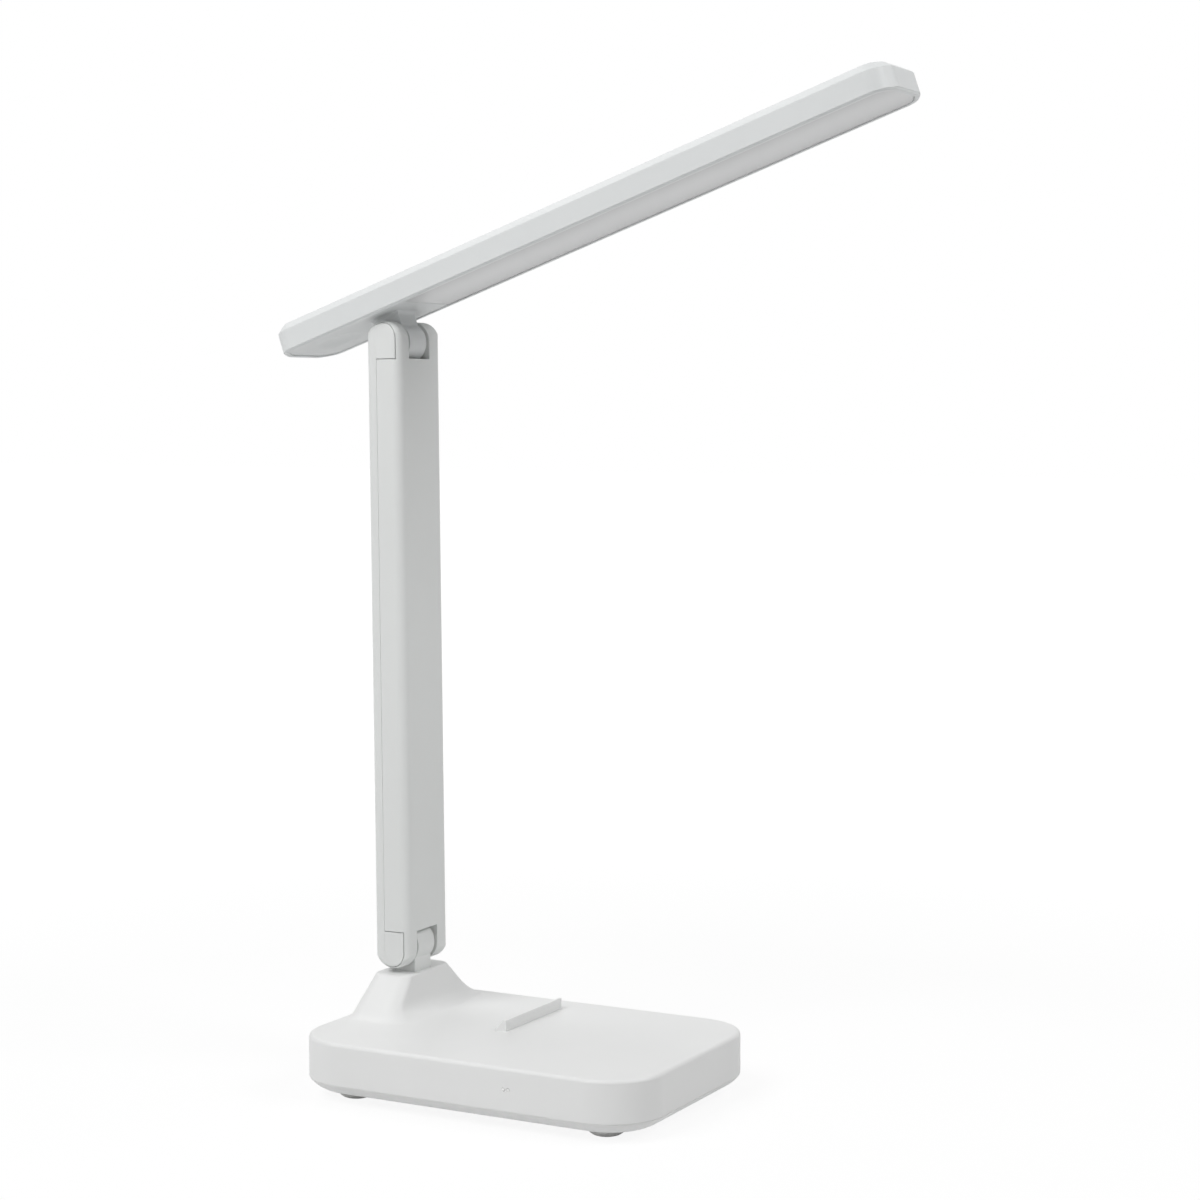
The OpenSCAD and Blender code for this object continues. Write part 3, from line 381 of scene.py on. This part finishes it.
class Finish(Enum):
    """Every finish on the lamp."""

    BASE_WHITE = MouldedPlastic("white_plastic_base", (0.85, 0.855, 0.85))
    ARM_WHITE = MouldedPlastic("white_plastic_arm", (0.775, 0.789, 0.78))
    HEAD_WHITE = MouldedPlastic("white_plastic_head", (0.752, 0.77, 0.771))
    CAP_WHITE = MouldedPlastic("white_plastic_caps", (0.77, 0.783, 0.775), 0.44)
    FOOT_RUBBER = SoftRubber("soft_rubber_feet", (0.90, 0.90, 0.885))
    STEEL = BareMetal("screw_steel", (0.56, 0.57, 0.58))
    IRON = BareMetal("blackened_iron", (0.22, 0.22, 0.23), 0.55, 350.0)
    COPPER = BareMetal("touch_pad_copper", (0.75, 0.46, 0.30), 0.4)
    NYLON = MouldedPlastic("greased_nylon", (0.62, 0.62, 0.60), 0.35, 0.05)
    BATTERY_WRAP = MouldedPlastic("battery_film", (0.35, 0.37, 0.40), 0.35, 0.05)
    GREEN_BOARD = CircuitBoard("solder_mask_green", (0.04, 0.20, 0.09), (0.07, 0.28, 0.12))
    WHITE_BOARD = CircuitBoard("solder_mask_white", (0.84, 0.84, 0.82), (0.78, 0.78, 0.76))
    LED_PHOSPHOR = MilkyPanel("led_phosphor", (0.85, 0.68, 0.18), 0.3)
    LIGHT_LENS = MilkyPanel("clear_lens", (0.90, 0.90, 0.89), 0.25)
    # The light panel's last figure darkens its long edges: painted shade from the rim.
    LIGHT_PANEL = MilkyPanel("milky_acrylic", (0.765, 0.772, 0.775), 0.38, 14.2 * MM, 14.6 * MM, 0.75)
    LEAD_WHITE = MouldedPlastic("lead_insulation", (0.75, 0.75, 0.75), 0.4, 0.04)

    @property
    def material(self) -> bpy.types.Material:
        """The finish's material, made when it is first asked for."""
        if self.name not in MADE:
            MADE[self.name] = self.value.make()
        return MADE[self.name]


def dress(obj: bpy.types.Object, finish: Finish) -> None:
    """Gives all of an object one finish."""
    obj.data.materials.clear()
    obj.data.materials.append(finish.material)


# ---------- Modelling by hand ----------


def select_only(*objects: bpy.types.Object) -> None:
    """Selects these objects alone and makes the first one active."""
    bpy.ops.object.select_all(action="DESELECT")
    for obj in objects:
        obj.select_set(True)
    bpy.context.view_layer.objects.active = objects[0]


@contextmanager
def editing(piece: bpy.types.Object) -> Iterator[None]:
    """Works on one piece in edit mode, with all of its mesh selected at first.

    Args:
        piece: the piece to shape.

    Yields:
        Nothing; the piece is in edit mode meanwhile.
    """
    select_only(piece)
    bpy.ops.object.mode_set(mode="EDIT")
    bpy.ops.mesh.select_mode(type="VERT")
    bpy.ops.mesh.select_all(action="SELECT")
    yield
    bpy.ops.object.mode_set(mode="OBJECT")


def choose(piece: bpy.types.Object, kind: str, wanted: Callable[[Any], bool]) -> int:
    """Selects the vertices, edges or faces that pass a test, in edit mode.

    Args:
        piece: the piece in edit mode.
        kind: VERT, EDGE or FACE.
        wanted: the test, given the bmesh element.

    Returns:
        How many passed.
    """
    bpy.ops.mesh.select_mode(type=kind)
    bpy.ops.mesh.select_all(action="DESELECT")
    shape = bmesh.from_edit_mesh(piece.data)
    shape.normal_update()
    group = {"VERT": shape.verts, "EDGE": shape.edges, "FACE": shape.faces}[kind]
    found = [element for element in group if wanted(element)]
    for element in found:
        element.select_set(True)
    shape.select_flush_mode()
    bmesh.update_edit_mesh(piece.data)
    return len(found)


def apply(piece: bpy.types.Object, kind: str, **settings: Any) -> None:
    """Adds a modifier with these settings and applies it."""
    select_only(piece)
    made = piece.modifiers.new(kind.title(), kind)
    for key, value in settings.items():
        setattr(made, key, value)
    bpy.ops.object.modifier_apply(modifier=made.name)


def smooth(piece: bpy.types.Object) -> None:
    """Shades curves smooth, keeps edges sharp and flats flat."""
    select_only(piece)
    if piece.data.has_custom_normals:
        bpy.ops.mesh.customdata_custom_splitnormals_clear()
    bpy.ops.object.shade_smooth_by_angle(angle=math.radians(SMOOTH_WITHIN))
    apply(piece, "WEIGHTED_NORMAL", keep_sharp=True, mode="FACE_AREA", weight=NORMAL_WEIGHT)


def lathe(
    name: str,
    profile: list[tuple[float, float]],
    place: Place,
    along_y: bool = False,
    steps: int = 48,
) -> bpy.types.Object:
    """Turns a piece from a profile of (radius, height) points.

    Args:
        name: the piece's name.
        profile: points from the axis out and back to the axis, in metres.
        place: the foot of the axis.
        along_y: True for an axis along -Y, False for one along +Z.
        steps: facets round the axis.

    Returns:
        The closed piece.
    """

    def point(radius: float, height: float) -> Vector:
        """Returns a profile point in space."""
        return Vector(place) + Vector((radius, -height, 0.0) if along_y else (radius, 0.0, height))

    bpy.ops.object.select_all(action="DESELECT")
    bpy.ops.mesh.primitive_plane_add(size=MM, location=point(*profile[0]))
    piece = bpy.context.object
    piece.name = name
    with editing(piece):
        bpy.ops.mesh.merge(type="CENTER")
        for before, after in zip(profile, profile[1:]):
            step = point(*after) - point(*before)
            bpy.ops.mesh.extrude_region_move(TRANSFORM_OT_translate={"value": step})
        bpy.ops.mesh.select_all(action="SELECT")
        bpy.ops.mesh.spin(
            steps=steps, angle=2 * math.pi, center=place, axis=(0, -1, 0) if along_y else (0, 0, 1)
        )
        bpy.ops.mesh.select_all(action="SELECT")
        bpy.ops.mesh.remove_doubles(threshold=WELD / 2)
        bpy.ops.mesh.normals_make_consistent(inside=False)
    settle(piece)
    return piece


def settle(piece: bpy.types.Object) -> None:
    """Moves the piece's place, turn and size into its mesh."""
    select_only(piece)
    bpy.ops.object.transform_apply(location=True, rotation=True, scale=True)


def copy_of(piece: bpy.types.Object, name: str, shift: Place) -> bpy.types.Object:
    """Returns a copy with its own mesh, moved by a shift that goes into the mesh."""
    twin = bpy.data.objects.new(name, piece.data.copy())
    bpy.context.collection.objects.link(twin)
    twin.location = shift
    settle(twin)
    return twin


def merged_copy(node: str, name: str) -> bpy.types.Object:
    """Copies a CAD node's surface and joins its loose triangles into whole faces.

    Args:
        node: the CAD node.
        name: the new piece's name.

    Returns:
        The piece, one closed mesh.
    """
    piece = bpy.data.objects.new(name, frame["nodes"][node].data.copy())
    bpy.context.collection.objects.link(piece)
    with editing(piece):
        bpy.ops.mesh.remove_doubles(threshold=WELD)
        bpy.ops.mesh.dissolve_limited(angle_limit=math.radians(FLAT_WITHIN))
    return piece


def soften(piece: bpy.types.Object, width: float, stays: Callable[[Vector], bool]) -> int:
    """Rounds the outer edges of a piece that have room for it.

    Args:
        piece: a merged piece.
        width: the round's width in metres.
        stays: tells where, by a vertex's place, edges stay crisp.

    Returns:
        How many edges were rounded.
    """

    def is_edge(edge: Any) -> bool:
        """Tells whether two faces meet at an angle here."""
        return len(edge.link_faces) == 2 and edge.calc_face_angle(0.0) > math.radians(EDGE_OVER)

    def has_room(edge: Any) -> bool:
        """Tells whether this is an outer edge with enough flat beside it."""
        if not is_edge(edge) or not edge.is_convex or all(stays(v.co) for v in edge.verts):
            return False
        beside = [e for v in edge.verts for e in v.link_edges if not is_edge(e)]
        return all(e.calc_length() > ROOM * width for e in beside)

    with editing(piece):
        count = choose(piece, "EDGE", has_room)
        if count:
            bpy.ops.mesh.bevel(
                offset=width, segments=EDGE_SEGMENTS, profile=0.5, affect="EDGES", clamp_overlap=False
            )
    return count


# ---------- Sub-assemblies ----------


@dataclass
class Assembly:
    """Nodes and pieces that move as one body.

    Attributes:
        body: the CAD body's name.
        finishes: the finish of each CAD node that is shown as it is.
        mouldings: the finish and edge round, in metres, of each node shown as a merged copy.
    """

    body: str
    finishes: dict[str, Finish] = field(default_factory=dict)
    mouldings: dict[str, tuple[Finish, float]] = field(default_factory=dict)

    def dress_nodes(self) -> None:
        """Gives every CAD node of the body its finish."""
        for node, finish in self.finishes.items():
            dress(frame["nodes"][node], finish)
            log.info("%s: node %s in %s", self.body, node, finish.value.name)

    def own(self, piece: bpy.types.Object, finish: Finish, slot: str, *nodes: str) -> None:
        """Finishes a piece and ties it to the body.

        Args:
            piece: the piece, in place.
            finish: its finish.
            slot: the record's material slot; not used.
            nodes: the CAD nodes that it stands for.
        """
        smooth(piece)
        dress(piece, finish)
        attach(piece, self.body)
        if nodes:
            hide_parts(*nodes)
        log.info("%s: piece %s, %d faces", self.body, piece.name, len(piece.data.polygons))

    def add_mouldings(self) -> None:
        """Shows chosen nodes as merged copies with rounded outer edges."""
        for node, (finish, width) in self.mouldings.items():
            dress(frame["nodes"][node], finish)
            piece = merged_copy(node, f"{node}_moulding")
            self.trim(piece, node)
            if width:
                count = soften(piece, width, lambda at: self.stays_crisp(node, at))
                log.info("%s: %d edges rounded", node, count)
            self.own(piece, finish, SLOTS[node], node)

    def trim(self, piece: bpy.types.Object, node: str) -> None:
        """Adjusts one merged copy before its edges are rounded; most need nothing."""

    def stays_crisp(self, node: str, at: Vector) -> bool:
        """Tells whether a copy's edges stay unrounded at a place; most are rounded everywhere."""
        return False

    def add_pieces(self) -> None:
        """Adds the pieces that are modelled here."""

    def build(self) -> None:
        """Makes and dresses everything of the body."""
        self.dress_nodes()
        self.add_mouldings()
        self.add_pieces()


@dataclass
class Base(Assembly):
    """The base with its feet, weight, electronics and the fixed half of the lower hinge.

    Attributes:
        foot_x, foot_y: distance of the feet's middles from the base's middle.
        foot_profile: a foot from its axis down, out and back, as (radius, height) in millimetres.
        ridge_x: where the rest ridge stands.
        base_top: height just under the base's top face.
        light_x, light_z: the places of the charge lights on the near wall.
        near_wall_y: the near wall's face.
        lens_profile: a lens as (radius, height over the wall) in millimetres.
    """

    body: str = "base"
    finishes: dict[str, Finish] = field(
        default_factory=lambda: {
            "base_feet": Finish.FOOT_RUBBER,
            "case_screws": Finish.STEEL,
            "ballast_plate": Finish.IRON,
            "battery_pack": Finish.BATTERY_WRAP,
            "control_board": Finish.GREEN_BOARD,
            "charge_light_board": Finish.GREEN_BOARD,
            "bracket_screws": Finish.STEEL,
        }
    )
    mouldings: dict[str, tuple[Finish, float]] = field(
        default_factory=lambda: {
            "base_shell": (Finish.BASE_WHITE, 0.25 * MM),
            "base_tray": (Finish.BASE_WHITE, 0.15 * MM),
            "usb_socket": (Finish.STEEL, 0.06 * MM),
            "charge_lights": (Finish.LIGHT_LENS, 0.0),
            "hinge_bracket": (Finish.ARM_WHITE, 0.3 * MM),
            "base_hinge_washers": (Finish.NYLON, 0.1 * MM),
        }
    )
    foot_x: float = 47.0 * MM
    foot_y: float = 30.1 * MM
    foot_profile: tuple[tuple[float, float], ...] = (
        (0.0, 0.3), (2.2, 0.3), (2.5, 0.05), (2.8, 0.0), (3.5, 0.0), (4.05, 0.09), (4.6, 0.3),
        (5.1, 0.6), (5.5, 0.9), (5.85, 1.24), (6.15, 1.6), (6.45, 2.0), (6.75, 2.4), (7.0, 2.68),
        (7.2, 2.86), (7.2, 2.9), (4.75, 2.9), (4.75, 3.4), (0.0, 3.4),
    )
    ridge_x: tuple[float, float] = (-10.0 * MM, -4.0 * MM)
    base_top: float = 20.9 * MM
    light_x: tuple[float, float] = (17.95 * MM, 19.65 * MM)
    light_z: float = 13.9 * MM
    near_wall_y: float = -45.0 * MM
    lens_profile: tuple[tuple[float, float], ...] = (
        (0.0, -0.3), (0.48, -0.3), (0.5, -0.02), (0.44, 0.05), (0.32, 0.1), (0.16, 0.13), (0.0, 0.14),
    )

    def stays_crisp(self, node: str, at: Vector) -> bool:
        """Keeps the thin rest ridge on the base's top as it is."""
        low, high = self.ridge_x
        return node == "base_shell" and low < at.x < high and at.z > self.base_top

    def add_pieces(self) -> None:
        """Turns the four feet and the two charge-light lenses."""
        self.add_feet()
        self.add_lenses()

    def add_feet(self) -> None:
        """Turns one foot with a rounded tread and hollow flank, and copies it to the other corners."""
        profile = [(r * MM, z * MM) for r, z in self.foot_profile]
        first = lathe("foot_front_near", profile, (self.foot_x, -self.foot_y, 0.0), steps=56)
        feet = [
            first,
            copy_of(first, "foot_front_far", (0.0, 2 * self.foot_y, 0.0)),
            copy_of(first, "foot_back_near", (-2 * self.foot_x, 0.0, 0.0)),
            copy_of(first, "foot_back_far", (-2 * self.foot_x, 2 * self.foot_y, 0.0)),
        ]
        for foot in feet:
            self.own(foot, Finish.FOOT_RUBBER, "foot_rubber", "base_feet")

    def add_lenses(self) -> None:
        """Turns a crowned lens for the end of each charge-light pin."""
        profile = [(r * MM, h * MM) for r, h in self.lens_profile]
        for name, x in zip(("charge_lens_back", "charge_lens_front"), self.light_x):
            lens = lathe(name, profile, (x, self.near_wall_y, self.light_z), along_y=True, steps=24)
            self.own(lens, Finish.LIGHT_LENS, "light_panel")


@dataclass
class Arm(Assembly):
    """The arm with both hinge bolts, their nuts and caps.

    Attributes:
        seam_x, seam_z: a point of the seam between the two shells.
        seam_lean: how far the seam moves along X for each metre of height.
        seam_reach: how near the seam a vertex belongs to it.
        near_y, far_y: the arm's two side faces.
        groove, groove_reach: depth of the seam's floor, and how exactly it is met.
        raise_by: how far that floor comes up.
        cap_gap: the gap between a cap and the back shell that is closed.
    """

    body: str = "arm"
    finishes: dict[str, Finish] = field(
        default_factory=lambda: {
            "arm_lead": Finish.LEAD_WHITE,
            "base_hinge_bolt": Finish.STEEL,
            "base_hinge_nut": Finish.STEEL,
            "head_hinge_bolt": Finish.STEEL,
            "head_hinge_nut": Finish.STEEL,
        }
    )
    mouldings: dict[str, tuple[Finish, float]] = field(
        default_factory=lambda: {
            "arm_front_shell": (Finish.ARM_WHITE, 0.2 * MM),
            "arm_back_shell": (Finish.ARM_WHITE, 0.2 * MM),
            "base_cap_near": (Finish.CAP_WHITE, 0.1 * MM),
            "base_cap_far": (Finish.CAP_WHITE, 0.1 * MM),
            "head_cap_near": (Finish.CAP_WHITE, 0.1 * MM),
            "head_cap_far": (Finish.CAP_WHITE, 0.1 * MM),
        }
    )
    seam_x: float = -56.21 * MM
    seam_z: float = 43.1 * MM
    seam_lean: float = -0.00995
    seam_reach: float = 0.13 * MM
    near_y: float = 1.1 * MM
    far_y: float = 27.3 * MM
    groove: float = 0.1 * MM
    groove_reach: float = 0.02 * MM
    raise_by: float = 0.075 * MM
    cap_gap: float = 0.045 * MM

    def off_seam(self, at: Vector) -> float:
        """Returns how far a point lies in front of the seam between the two shells."""
        return at.x - self.seam_x - (at.z - self.seam_z) * self.seam_lean

    def trim(self, piece: bpy.types.Object, node: str) -> None:
        """Makes the seam a faint line, and lets the caps touch the back shell.

        Args:
            piece: the merged copy.
            node: the CAD node that it shows.
        """
        with editing(piece):
            if "_cap_" in node:
                choose(piece, "VERT", lambda v: abs(self.off_seam(v.co)) < self.seam_reach)
                bpy.ops.transform.translate(value=(-self.cap_gap, 0.0, 0.0))
                return
            for face_y, way in ((self.near_y, 1.0), (self.far_y, -1.0)):
                floor_y = face_y + way * self.groove

                def in_groove(vertex: Any) -> bool:
                    """Tells whether a vertex lies on the seam's floor on this side."""
                    near_seam = abs(self.off_seam(vertex.co)) < self.seam_reach
                    return near_seam and abs(vertex.co.y - floor_y) < self.groove_reach

                if choose(piece, "VERT", in_groove):
                    bpy.ops.transform.translate(value=(0.0, -way * self.raise_by, 0.0))


@dataclass
class Head(Assembly):
    """The head with its light panel, boards and touch switch.

    Attributes:
        hinge_x, hinge_z: the upper hinge axis.
        pitch: how far the head points up.
        rim_along, rim_half: the rim's middle ahead of the hinge, and its half length and half width.
        middle_y: the head's middle across.
        split_height: height of the housing's lower edge over the hinge, square to the head.
        same_height: how exactly a vertex meets that height.
        rim_shift: how far the rim's upper edge moves outwards.
    """

    body: str = "head"
    finishes: dict[str, Finish] = field(
        default_factory=lambda: {
            "head_screws": Finish.STEEL,
            "led_board": Finish.WHITE_BOARD,
            "led_chips": Finish.LED_PHOSPHOR,
            "touch_board": Finish.GREEN_BOARD,
            "touch_pad": Finish.COPPER,
        }
    )
    mouldings: dict[str, tuple[Finish, float]] = field(
        default_factory=lambda: {
            "head_housing": (Finish.HEAD_WHITE, 0.2 * MM),
            "head_bottom_cover": (Finish.HEAD_WHITE, 0.25 * MM),
            "head_diffuser": (Finish.LIGHT_PANEL, 0.35 * MM),
            "head_hinge_washers": (Finish.NYLON, 0.1 * MM),
        }
    )
    hinge_x: float = -55.66 * MM
    hinge_z: float = 250.09 * MM
    pitch: float = math.radians(19.32)
    rim_along: float = 78.6 * MM
    rim_half: tuple[float, float] = (119.26 * MM, 16.21 * MM)
    middle_y: float = 14.2 * MM
    split_height: float = 9.86 * MM
    same_height: float = 0.03 * MM
    rim_shift: float = 0.36 * MM

    def along(self, at: Vector) -> float:
        """Returns how far forward of the upper hinge a point lies along the head."""
        return math.cos(self.pitch) * (at.x - self.hinge_x) + math.sin(self.pitch) * (at.z - self.hinge_z)

    def height(self, at: Vector) -> float:
        """Returns how far above the upper hinge a point lies, square to the head."""
        return math.cos(self.pitch) * (at.z - self.hinge_z) - math.sin(self.pitch) * (at.x - self.hinge_x)

    @property
    def rim_middle(self) -> Place:
        """The middle of the plane between the housing and its bottom cover."""
        cos, sin = math.cos(self.pitch), math.sin(self.pitch)
        return (
            self.hinge_x + cos * self.rim_along - sin * self.split_height,
            self.middle_y,
            self.hinge_z + sin * self.rim_along + cos * self.split_height,
        )

    def at_split(self, at: Vector) -> bool:
        """Tells whether a point lies in the plane between the housing and its bottom cover."""
        return abs(self.height(at) - self.split_height) < self.same_height

    def stays_crisp(self, node: str, at: Vector) -> bool:
        """Keeps the split line between housing and cover a fine one."""
        return node in ("head_housing", "head_bottom_cover") and self.at_split(at)

    def trim(self, piece: bpy.types.Object, node: str) -> None:
        """Slants the cover's rim outwards, up to the housing's edge.

        Args:
            piece: the merged copy.
            node: the CAD node that it shows.
        """
        if node != "head_bottom_cover":
            return

        def on_rim(vertex: Any) -> bool:
            """Tells whether a vertex is at the top of the rim's outer face."""
            lowest = min(self.height(e.other_vert(vertex).co) for e in vertex.link_edges)
            return self.at_split(vertex.co) and lowest < self.split_height - self.same_height

        with editing(piece):
            count = choose(piece, "VERT", on_rim)
            lengthwise, across = (1 + self.rim_shift / half for half in self.rim_half)
            growth = (lengthwise, across, lengthwise)
            bpy.ops.transform.resize(value=growth, center_override=self.rim_middle)
        log.info("%s: %d rim vertices moved outwards", node, count)


# ---------- Studio ----------


@dataclass(frozen=True)
class Softbox:
    """One soft lamp of the studio; it points at the lamp's middle."""

    name: str
    place: Place
    size: tuple[float, float]
    power: float
    aim: Place = (0.0, 0.0, 0.15)

    def make(self) -> None:
        """Adds the lamp."""
        data = bpy.data.lights.new(self.name, "AREA")
        data.shape = "RECTANGLE"
        data.size, data.size_y = self.size
        data.energy = self.power
        lamp = bpy.data.objects.new(self.name, data)
        lamp.location = self.place
        lamp.rotation_euler = (Vector(self.aim) - Vector(self.place)).to_track_quat("-Z", "Y").to_euler()
        bpy.context.collection.objects.link(lamp)


@dataclass
class Studio:
    """Camera, lamps, floor and surroundings."""

    camera_place: Place = (0.42184, -0.73050, 0.22873)
    camera_turn: float = 28.31
    camera_dip: float = 4.33
    focal_mm: float = 77.085
    sensor_mm: float = 36.0
    camera_reach: tuple[float, float] = (0.01, 60.0)
    ambient: float = 0.08
    lamps: tuple[Softbox, ...] = (
        Softbox("softbox_near", (-0.35, -1.2, 1.45), (0.9, 0.9), 19.2),
        Softbox("softbox_front", (1.3, 0.15, 1.15), (0.9, 0.7), 9.8),
        Softbox("softbox_far", (0.7, 1.2, 1.4), (0.9, 0.9), 3.0),
        Softbox("softbox_back", (-1.2, 0.5, 1.6), (0.9, 0.9), 5.4),
        Softbox("softbox_low", (-0.9, -1.4, 0.35), (0.9, 0.5), 2.5),
    )
    floor_size: float = 14.0
    floor_paper: float = 0.8
    floor_clear: tuple[float, float] = (0.25, 0.8)
    floor_white_share: tuple[float, float] = (0.86, 1.0)
    floor_glow: float = 1.05

    def build(self) -> None:
        """Sets up the whole studio."""
        self.add_camera()
        self.add_surroundings()
        self.add_floor()
        for lamp in self.lamps:
            lamp.make()
        bpy.context.scene.view_settings.view_transform = "Standard"

    def add_camera(self) -> None:
        """Puts the camera where the photograph was taken from."""
        data = bpy.data.cameras.new("camera")
        data.sensor_width = self.sensor_mm
        data.lens = self.focal_mm
        data.clip_start, data.clip_end = self.camera_reach
        camera = bpy.data.objects.new("camera", data)
        camera.location = self.camera_place
        camera.rotation_euler = (math.radians(90 - self.camera_dip), 0.0, math.radians(self.camera_turn))
        bpy.context.collection.objects.link(camera)
        bpy.context.scene.camera = camera

    def add_surroundings(self) -> None:
        """Makes the world plain white to the eye and softer as a light."""
        world = bpy.data.worlds.new("studio_world")
        world.use_nodes = True
        nodes, links = world.node_tree.nodes, world.node_tree.links
        nodes.clear()
        path = nodes.new("ShaderNodeLightPath")
        seen = self.seen_rays(nodes, links, path)
        strength = nodes.new("ShaderNodeMapRange")
        strength.inputs["To Min"].default_value = self.ambient
        strength.inputs["To Max"].default_value = 1.0
        links.new(seen, strength.inputs["Value"])
        light = nodes.new("ShaderNodeBackground")
        light.inputs["Color"].default_value = (1.0, 1.0, 1.0, 1.0)
        links.new(strength.outputs["Result"], light.inputs["Strength"])
        out = nodes.new("ShaderNodeOutputWorld")
        links.new(light.outputs[0], out.inputs["Surface"])
        bpy.context.scene.world = world

    @staticmethod
    def seen_rays(nodes: Any, links: Any, path: bpy.types.Node) -> bpy.types.NodeSocket:
        """Returns 1 for rays that the eye follows: straight, mirrored or through glass."""
        total = path.outputs["Is Camera Ray"]
        for name in ("Is Glossy Ray", "Is Transmission Ray"):
            join = nodes.new("ShaderNodeMath")
            join.operation = "MAXIMUM"
            links.new(total, join.inputs[0])
            links.new(path.outputs[name], join.inputs[1])
            total = join.outputs[0]
        return total

    def add_floor(self) -> None:
        """Lays a pale floor that looks white and still takes the lamp's shadow."""
        bpy.ops.mesh.primitive_plane_add(size=self.floor_size, location=(0.0, 0.0, 0.0))
        floor = bpy.context.object
        floor.name = "floor"
        material = bpy.data.materials.new("floor_paper")
        material.use_nodes = True
        nodes, links = material.node_tree.nodes, material.node_tree.links
        nodes.clear()
        path = nodes.new("ShaderNodeLightPath")
        seen = self.seen_rays(nodes, links, path)
        place = nodes.new("ShaderNodeNewGeometry")
        reach = nodes.new("ShaderNodeVectorMath")
        reach.operation = "LENGTH"
        links.new(place.outputs["Position"], reach.inputs[0])
        clear = nodes.new("ShaderNodeMapRange")
        for end, distance, white in zip(("Min", "Max"), self.floor_clear, self.floor_white_share):
            clear.inputs[f"From {end}"].default_value = distance
            clear.inputs[f"To {end}"].default_value = white
        links.new(reach.outputs["Value"], clear.inputs["Value"])
        share = nodes.new("ShaderNodeMath")
        share.operation = "MULTIPLY"
        links.new(clear.outputs["Result"], share.inputs[1])
        links.new(seen, share.inputs[0])
        paper = nodes.new("ShaderNodeBsdfDiffuse")
        paper.inputs["Color"].default_value = (self.floor_paper, self.floor_paper, self.floor_paper, 1.0)
        glow = nodes.new("ShaderNodeEmission")
        glow.inputs["Strength"].default_value = self.floor_glow
        mix = nodes.new("ShaderNodeMixShader")
        links.new(share.outputs[0], mix.inputs[0])
        links.new(paper.outputs[0], mix.inputs[1])
        links.new(glow.outputs[0], mix.inputs[2])
        out = nodes.new("ShaderNodeOutputMaterial")
        links.new(mix.outputs[0], out.inputs["Surface"])
        floor.data.materials.append(material)


def main() -> None:
    """Builds the studio and the lamp, body by body."""
    logging.basicConfig(level=logging.INFO, format="%(message)s")
    Studio().build()
    for assembly in (Base(), Arm(), Head()):
        assembly.build()


if __name__ == "__main__":
    main()
